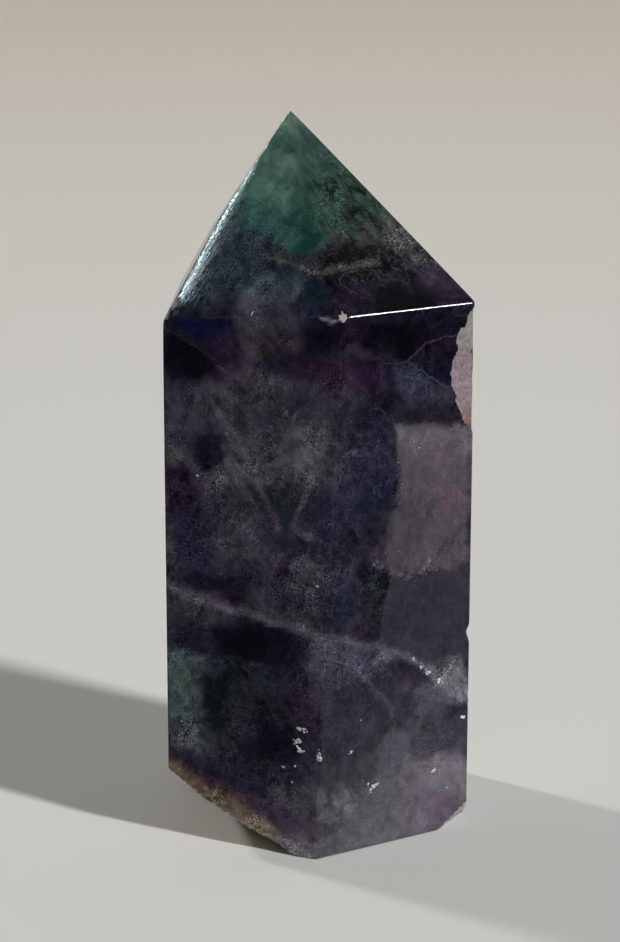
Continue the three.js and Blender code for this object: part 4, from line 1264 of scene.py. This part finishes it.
def milky_fluorite():
    """The wall of a bubble: it scatters nearly all the light that reaches it, lilac or grey by turns."""
    material, tree = new_material("milky bubbles in fluorite")
    place = in_millimetres(tree)
    turn = add(tree, "TexNoise", {"Vector": place, "Scale": 1 / 1.4, "Detail": 3.0, "Roughness": 0.7})
    turn = add(tree, "MapRange", {"Value": turn, "From Min": 0.4, "From Max": 0.6})
    colour = add(tree, "Mix", {"Factor": turn, "A": (*linear("#f3eff6"), 1), "B": (*linear("#dfe3df"), 1)},
                 data_type="RGBA")
    rough = add(tree, "MapRange", {"Value": turn, "To Min": 0.3, "To Max": 0.5})
    shader = add(tree, "BsdfPrincipled", {"Base Color": colour, "Roughness": rough, "IOR": FLUORITE_IOR})
    add(tree, "OutputMaterial", {"Surface": shader})
    return material


rng = np.random.default_rng(81)
sheets = np.concatenate([crack_sheet(HAZE[name][4], *sizes, rng) for name, sizes in SHEETS.items()])
sheets = sheets[outside_by(sheets) < -SHEET_START]
crack_bubbles = bubbles("healed_crack_bubbles", sheets, FLAT_BUBBLE, FLAT_UNEVEN, FLAT_SHAPE, rng)

clouds = rng.uniform(*CLOUD_BOX, (CLOUD_TRIES, 3))
inside = -outside_by(clouds)
clouds = clouds[(inside > CLOUD_DEPTHS[0]) & (inside < CLOUD_DEPTHS[1])]
cloudiness = stone_tint(clouds)[:, 3] * (0.4 + 0.6 * (cloud(clouds, 2.2, 72) > 0))
clouds = clouds[rng.uniform(0, 1, len(clouds)) < cloudiness ** 2][:CLOUD_BUBBLES]
cloud_bubbles = bubbles("milky_cloud_bubbles", clouds, ROUND_BUBBLE, ROUND_UNEVEN, ROUND_SHAPE, rng)

milky = milky_fluorite()
for piece in (crack_bubbles, cloud_bubbles):
    piece.data.materials.append(milky)

# ---------------------------------------------------------------------------------------------------------
# White pits. Where a blow or a tiny cleavage crack has crushed the surface, white powder fills a ragged
# hollow in the polish, level with it.
# ---------------------------------------------------------------------------------------------------------

# Each pit on a front face: x, height, half width, half height, lean in degrees, how ragged its crumbs are.
PITS = {
    "three in the dark pocket, top": (-1.9, 16.5, 0.85, 0.33, 5, 0.5),
    "three in the dark pocket, middle": (-2.7, 14.9, 0.62, 0.42, -20, 0.55),
    "three in the dark pocket, low": (-2.3, 13.8, 0.33, 0.48, 10, 0.6),
    "sliver by the front edge": (0.1, 13.8, 0.16, 0.95, 4, 0.4),
    "dot, right": (3.8, 13.2, 0.35, 0.35, 20, 0.6),
    "small dot, right": (5.2, 17.1, 0.16, 0.2, 0, 0.4),
    "forked flake, stem": (6.4, 7.4, 0.22, 0.62, 35, 0.5),
    "forked flake, arm": (7.1, 8.2, 0.16, 0.5, 70, 0.5),
    "forked flake, left arm": (6.3, 8.3, 0.14, 0.35, -40, 0.5),
    "small flake, low left": (-4.3, 11.4, 0.16, 0.11, 0, 0.6),
    "small flake, low": (-2.9, 11.7, 0.1, 0.11, 0, 0.5),
    "speck under the pocket": (-3.3, 9.6, 0.08, 0.08, 0, 0.5),
    "flake under the arc": (14.4, 8.2, 0.35, 0.22, 20, 0.6),
    "flake under the arc, low": (16.2, 5.6, 0.16, 0.16, 0, 0.5),
    "nick over the girdle": (-8.0, 67.5, 0.06, 0.32, 25, 0.4),
    "bright edge, high": (11.6, 23.6, 0.2, 0.26, 40, 0.5),
    "bright edge, middle": (12.7, 22.4, 0.18, 0.32, 40, 0.5),
    "bright edge, low": (13.6, 21.5, 0.2, 0.22, 40, 0.5),
    "bright edge, end": (15.1, 20.0, 0.42, 0.2, 60, 0.6),
    "window, upper fleck": (11.5, 51.6, 0.1, 0.16, 30, 0.5),
    "window, fleck": (12.2, 50.7, 0.08, 0.1, 0, 0.5),
    "window, low fleck": (9.6, 49.3, 0.08, 0.12, 20, 0.5),
    "left of the point": (-8.0, 82.6, 0.2, 0.2, 0, 0.5),
    "left of the point, high": (-7.7, 83.3, 0.14, 0.14, 0, 0.5),
    "left edge, upper": (-14.8, 47.0, 0.16, 0.12, 0, 0.3),
    "over the main band": (-17.9, 31.6, 0.3, 0.12, -25, 0.4),
    "thin line, left": (-0.2, 34.9, 0.16, 0.16, 0, 0.4),
    "right edge, chip": (18.3, 14.6, 0.18, 0.3, 0, 0.4),
}
# A crumb of powder: half its length, how uneven that is, how slim it is, and how far it is turned at random.
CRUMB, CRUMB_UNEVEN, CRUMB_SLIM, CRUMB_TURN, CRUMBS_PER_AREA = 0.19, 0.4, 0.65, 40, 34
# Its mesh: points around, rings on each side, and how far it stands proud of the polish and lies below it.
PIT_SIDES, PIT_RINGS, PIT_PROUD, PIT_DEEP = 14, 3, 0.02, 0.12


def leaning(u, v, lean):
    """Offsets across and up, turned clockwise by lean degrees."""
    lean = math.radians(lean)
    return u * math.cos(lean) + v * math.sin(lean), v * math.cos(lean) - u * math.sin(lean)


def crumbs_of(x, z, wide, high, lean, ragged, rng):
    """Rows like a pit's own for the crumbs in it: spread evenly over its leaning ellipse, their sizes uneven.
    A tiny pit is one crumb."""
    number = max(1, round(CRUMBS_PER_AREA * wide * high))
    turn = rng.uniform(0, 2 * np.pi, number)
    out = np.sqrt(rng.uniform(0, 0.8, number)) * (number > 1)
    right, up = leaning(wide * out * np.cos(turn), high * out * np.sin(turn), lean)
    size = min(CRUMB, math.sqrt(wide * high)) if number > 1 else wide
    size = size * rng.lognormal(0, CRUMB_UNEVEN, number)
    slim = CRUMB_SLIM if number > 1 else high / wide
    turned = lean + rng.normal(0, CRUMB_TURN, number) * (number > 1)
    return np.stack([x + right, z + up, size, size * slim, turned, np.full(number, ragged)], -1)


def crushed_pit(x, z, wide, high, lean, ragged, number):
    """A ragged lens on the face: rings of an ellipse, pushed in and out by noise that depends on the angle,
    domed a little above the polish and hollowed below it, between a point on each side."""
    turn = np.linspace(0, 2 * np.pi, PIT_SIDES, endpoint=False)
    spot = np.stack([np.cos(turn) * 2.2, np.sin(turn) * 2.2, np.full(PIT_SIDES, number * 3.7)], -1)
    reach = 1 + ragged * layered(spot, ((0.9, 1.0), (0.35, 0.7)), 91)
    count = np.arange(1, 2 * PIT_RINGS)
    ring = np.minimum(count, 2 * PIT_RINGS - count) / PIT_RINGS
    right, up = leaning(wide * np.cos(turn) * reach, high * np.sin(turn) * reach, lean)
    right, up = ring[:, None] * right, ring[:, None] * up
    proud = np.where(count <= PIT_RINGS, PIT_PROUD, -PIT_DEEP) * (1 - ring ** 2) - 0.01 * ring
    right, up = np.concatenate([[0], right.ravel(), [0]]), np.concatenate([[0], up.ravel(), [0]])
    proud = np.concatenate([[PIT_PROUD], np.repeat(proud, PIT_SIDES), [-PIT_DEEP]])
    flat = np.stack([x + right, 0 * up, z + up], -1)
    return flat - np.outer(depth_behind_front(flat) + proud, (0, 1, 0))


def crushed_powder():
    """Crushed fluorite: white powder with grey gaps between its grains."""
    material, tree = new_material("crushed fluorite powder")
    place = in_millimetres(tree)
    grains = add(tree, "TexNoise", {"Vector": place, "Scale": 1 / 0.22, "Detail": 2.0, "Roughness": 0.7})
    share = add(tree, "MapRange", {"Value": grains, "From Min": 0.4, "From Max": 0.55})
    colour = add(tree, "Mix", {"Factor": share, "A": (*linear("#6a6771"), 1), "B": (*linear("#f6f4f5"), 1)},
                 data_type="RGBA")
    bump = add(tree, "Bump", {"Height": grains, "Strength": 0.5, "Distance": 0.0001})
    shader = add(tree, "BsdfPrincipled", {"Base Color": colour, "Roughness": 0.8, "Normal": bump,
                 "IOR": FLUORITE_IOR})
    add(tree, "OutputMaterial", {"Surface": shader})
    return material


rng = np.random.default_rng(95)
crumbs = np.concatenate([crumbs_of(*sizes, rng) for sizes in PITS.values()])
lenses = np.stack([crushed_pit(*sizes, number) for number, sizes in enumerate(crumbs)])
corners_each = lenses.shape[1]
across = np.arange(PIT_SIDES)
beside = (across + 1) % PIT_SIDES
inner = 1 + np.arange(2 * PIT_RINGS - 2)[:, None] * PIT_SIDES
outer = inner + PIT_SIDES
around = [(0 * across, 1 + across, 1 + beside), (inner + across, outer + across, inner + beside),
          (inner + beside, outer + across, outer + beside),
          (outer[-1] + across, 0 * across + corners_each - 1, outer[-1] + beside)]
around = np.concatenate([np.stack(triangles, -1).reshape(-1, 3) for triangles in around])
around = (around + corners_each * np.arange(len(lenses))[:, None, None]).reshape(-1, 3)
pits = new_piece("crushed_pits", lenses.reshape(-1, 3), around.tolist())
pits.data.materials.append(crushed_powder())

# ---------------------------------------------------------------------------------------------------------
# The stage. A plain pale floor, a low soft lamp from the right and front, a weaker one from behind on the
# left, and a dim room in front of the stone, so that its polished faces have little to reflect.
# ---------------------------------------------------------------------------------------------------------

# The floor: half its side in metres, and its colour near the stone and beyond.
FLOOR_HALF, FLOOR_NEAR, FLOOR_FAR, FLOOR_FADE = 4.0, "#e4e3df", "#d2c8ba", (0.15, 1.1)
# The floor as polished faces mirror it, painted dark in those reflections only: it turns dark between these
# distances in metres, towards the left front, and in front of the stone where it is some way off.
FLOOR_PAINTED_DARK_IN_MIRROR, LEFT_FRONT = (0.03, 0.03, 0.03, 1), (-0.74, -0.67, 0.0)
DARK_LEFT_FRONT, DARK_AWAY, DARK_BEFORE = (0.016, 0.034), (0.03, 0.10), (0.02, -0.01)
# Each lamp: the way to it (turn, rise), strength, width seen from the stone in degrees, colour, and whether
# it lights the room or only shows as a gleam on polish.
LAMPS = {
    "right front": (-35, 34, 2.5, 5, "#ffffff", True),
    "left back": (143, 32, 1.0, 5, "#ffffff", True),
    "gleam on the girdle": (-19, 24, 3.0, 14, "#f4faff", False),
    "gleam on the point": (165, 39.5, 1.5, 13, "#dbf7ff", False),
}
# How bright the room is behind the stone, before it and above it; its colour, and the backdrop's.
ROOM_BEHIND, ROOM_FRONT, ROOM_ABOVE = 0.30, 0.03, 0.15
ROOM_WHITE, BACKDROP = "#f6f3ee", "#cbc3b5"

scene = bpy.context.scene
scene.view_settings.view_transform = "Standard"

floor_mesh = bpy.data.meshes.new("floor")
corners = [(x * FLOOR_HALF, y * FLOOR_HALF, 0) for x, y in ((-1, -1), (1, -1), (1, 1), (-1, 1))]
floor_mesh.from_pydata(corners, [], [(0, 1, 2, 3)])
floor = bpy.data.objects.new("floor", floor_mesh)
scene.collection.objects.link(floor)

# Matt paper scatters light evenly, with no gleam. Polished faces show it as a painted dark reflection: rays
# mirrored off them see it dark towards the left front and in front of the stone.
paper, tree = new_material("matt paper")
place = add(tree, "TexCoord").node.outputs["Object"]
away = add(tree, "VectorMath", {0: place}, operation="LENGTH")
fade = add(tree, "MapRange", {"Value": away, "From Min": FLOOR_FADE[0], "From Max": FLOOR_FADE[1]})
ramp = add(tree, "ValToRGB", {"Fac": fade})
ramp.node.color_ramp.elements[0].color = (*linear(FLOOR_NEAR), 1)
ramp.node.color_ramp.elements[1].color = (*linear(FLOOR_FAR), 1)
matt = add(tree, "BsdfDiffuse", {"Color": ramp})
# Painted dark reflection: the floor as rays mirrored off the polish see it.
dark = add(tree, "BsdfDiffuse", {"Color": FLOOR_PAINTED_DARK_IN_MIRROR})
path = add(tree, "LightPath").node.outputs
mirrored = add(tree, "Math", {0: path["Is Glossy Ray"], 1: path["Is Transmission Ray"]},
               operation="SUBTRACT", use_clamp=True)
left_front = add(tree, "VectorMath", {0: place, 1: LEFT_FRONT}, operation="DOT_PRODUCT")
before = add(tree, "SeparateXYZ", {"Vector": place}).node.outputs["Y"]
left_front, some_way_off, before = [
    add(tree, "MapRange", {"Value": value, "From Min": start, "From Max": end})
    for value, (start, end) in ((left_front, DARK_LEFT_FRONT), (away, DARK_AWAY), (before, DARK_BEFORE))]
dim = add(tree, "Math", {0: some_way_off, 1: before}, operation="MULTIPLY")
dim = add(tree, "Math", {0: dim, 1: left_front}, operation="MAXIMUM")
dim = add(tree, "Math", {0: mirrored, 1: dim}, operation="MULTIPLY")
both = add(tree, "MixShader", {0: dim, 1: matt, 2: dark})
add(tree, "OutputMaterial", {"Surface": both})
floor_mesh.materials.append(paper)

for name, (turn, rise, strength, width, colour, lights_room) in LAMPS.items():
    data = bpy.data.lights.new("lamp_" + name.replace(" ", "_"), "SUN")
    data.energy = strength
    data.angle = math.radians(width)
    data.color = linear(colour)
    lamp = bpy.data.objects.new(data.name, data)
    lamp.rotation_euler = Vector(facing(turn, rise)).to_track_quat("Z", "Y").to_euler()
    lamp.visible_diffuse = lights_room
    lamp.visible_transmission = lights_room
    scene.collection.objects.link(lamp)

room = bpy.data.worlds.new("room")
room.use_nodes = True
tree = room.node_tree
tree.nodes.clear()
toward = add(tree, "TexCoord").node.outputs["Generated"]
depth = add(tree, "SeparateXYZ", {"Vector": toward}).node.outputs
behind = add(tree, "MapRange", {"Value": depth["Y"], "From Min": -0.3, "From Max": 0.7,
             "To Min": ROOM_FRONT, "To Max": ROOM_BEHIND}, interpolation_type="SMOOTHSTEP")
above = add(tree, "MapRange", {"Value": depth["Z"], "From Min": 0.6, "From Max": 1.0,
            "To Min": 0.0, "To Max": ROOM_ABOVE}, interpolation_type="SMOOTHSTEP")
light = add(tree, "Math", {0: behind, 1: above}, operation="MAXIMUM")
eye = add(tree, "LightPath").node.outputs["Is Camera Ray"]
glow = add(tree, "Background", {"Color": (*linear(ROOM_WHITE), 1), "Strength": light})
backdrop = add(tree, "Background", {"Color": (*linear(BACKDROP), 1), "Strength": 1.0})
chosen = add(tree, "MixShader", {0: eye, 1: glow, 2: backdrop})
add(tree, "OutputWorld", {"Surface": chosen})
scene.world = room

# Where the camera is, how far it looks down in degrees, and its focal length for a picture that high.
CAMERA_PLACE, CAMERA_DOWN = (-1.07, -356.176, 134.6), 14.25
CAMERA_FOCUS, PICTURE_HEIGHT, SENSOR = 2902, 942, 36
camera_data = bpy.data.cameras.new("camera")
camera_data.sensor_fit = "AUTO"
camera_data.sensor_width = SENSOR
camera_data.lens = CAMERA_FOCUS / PICTURE_HEIGHT * SENSOR
camera = bpy.data.objects.new("camera", camera_data)
camera.location = Vector(CAMERA_PLACE) * MM
camera.rotation_euler = (math.radians(90 - CAMERA_DOWN), 0, 0)
scene.collection.objects.link(camera)
scene.camera = camera
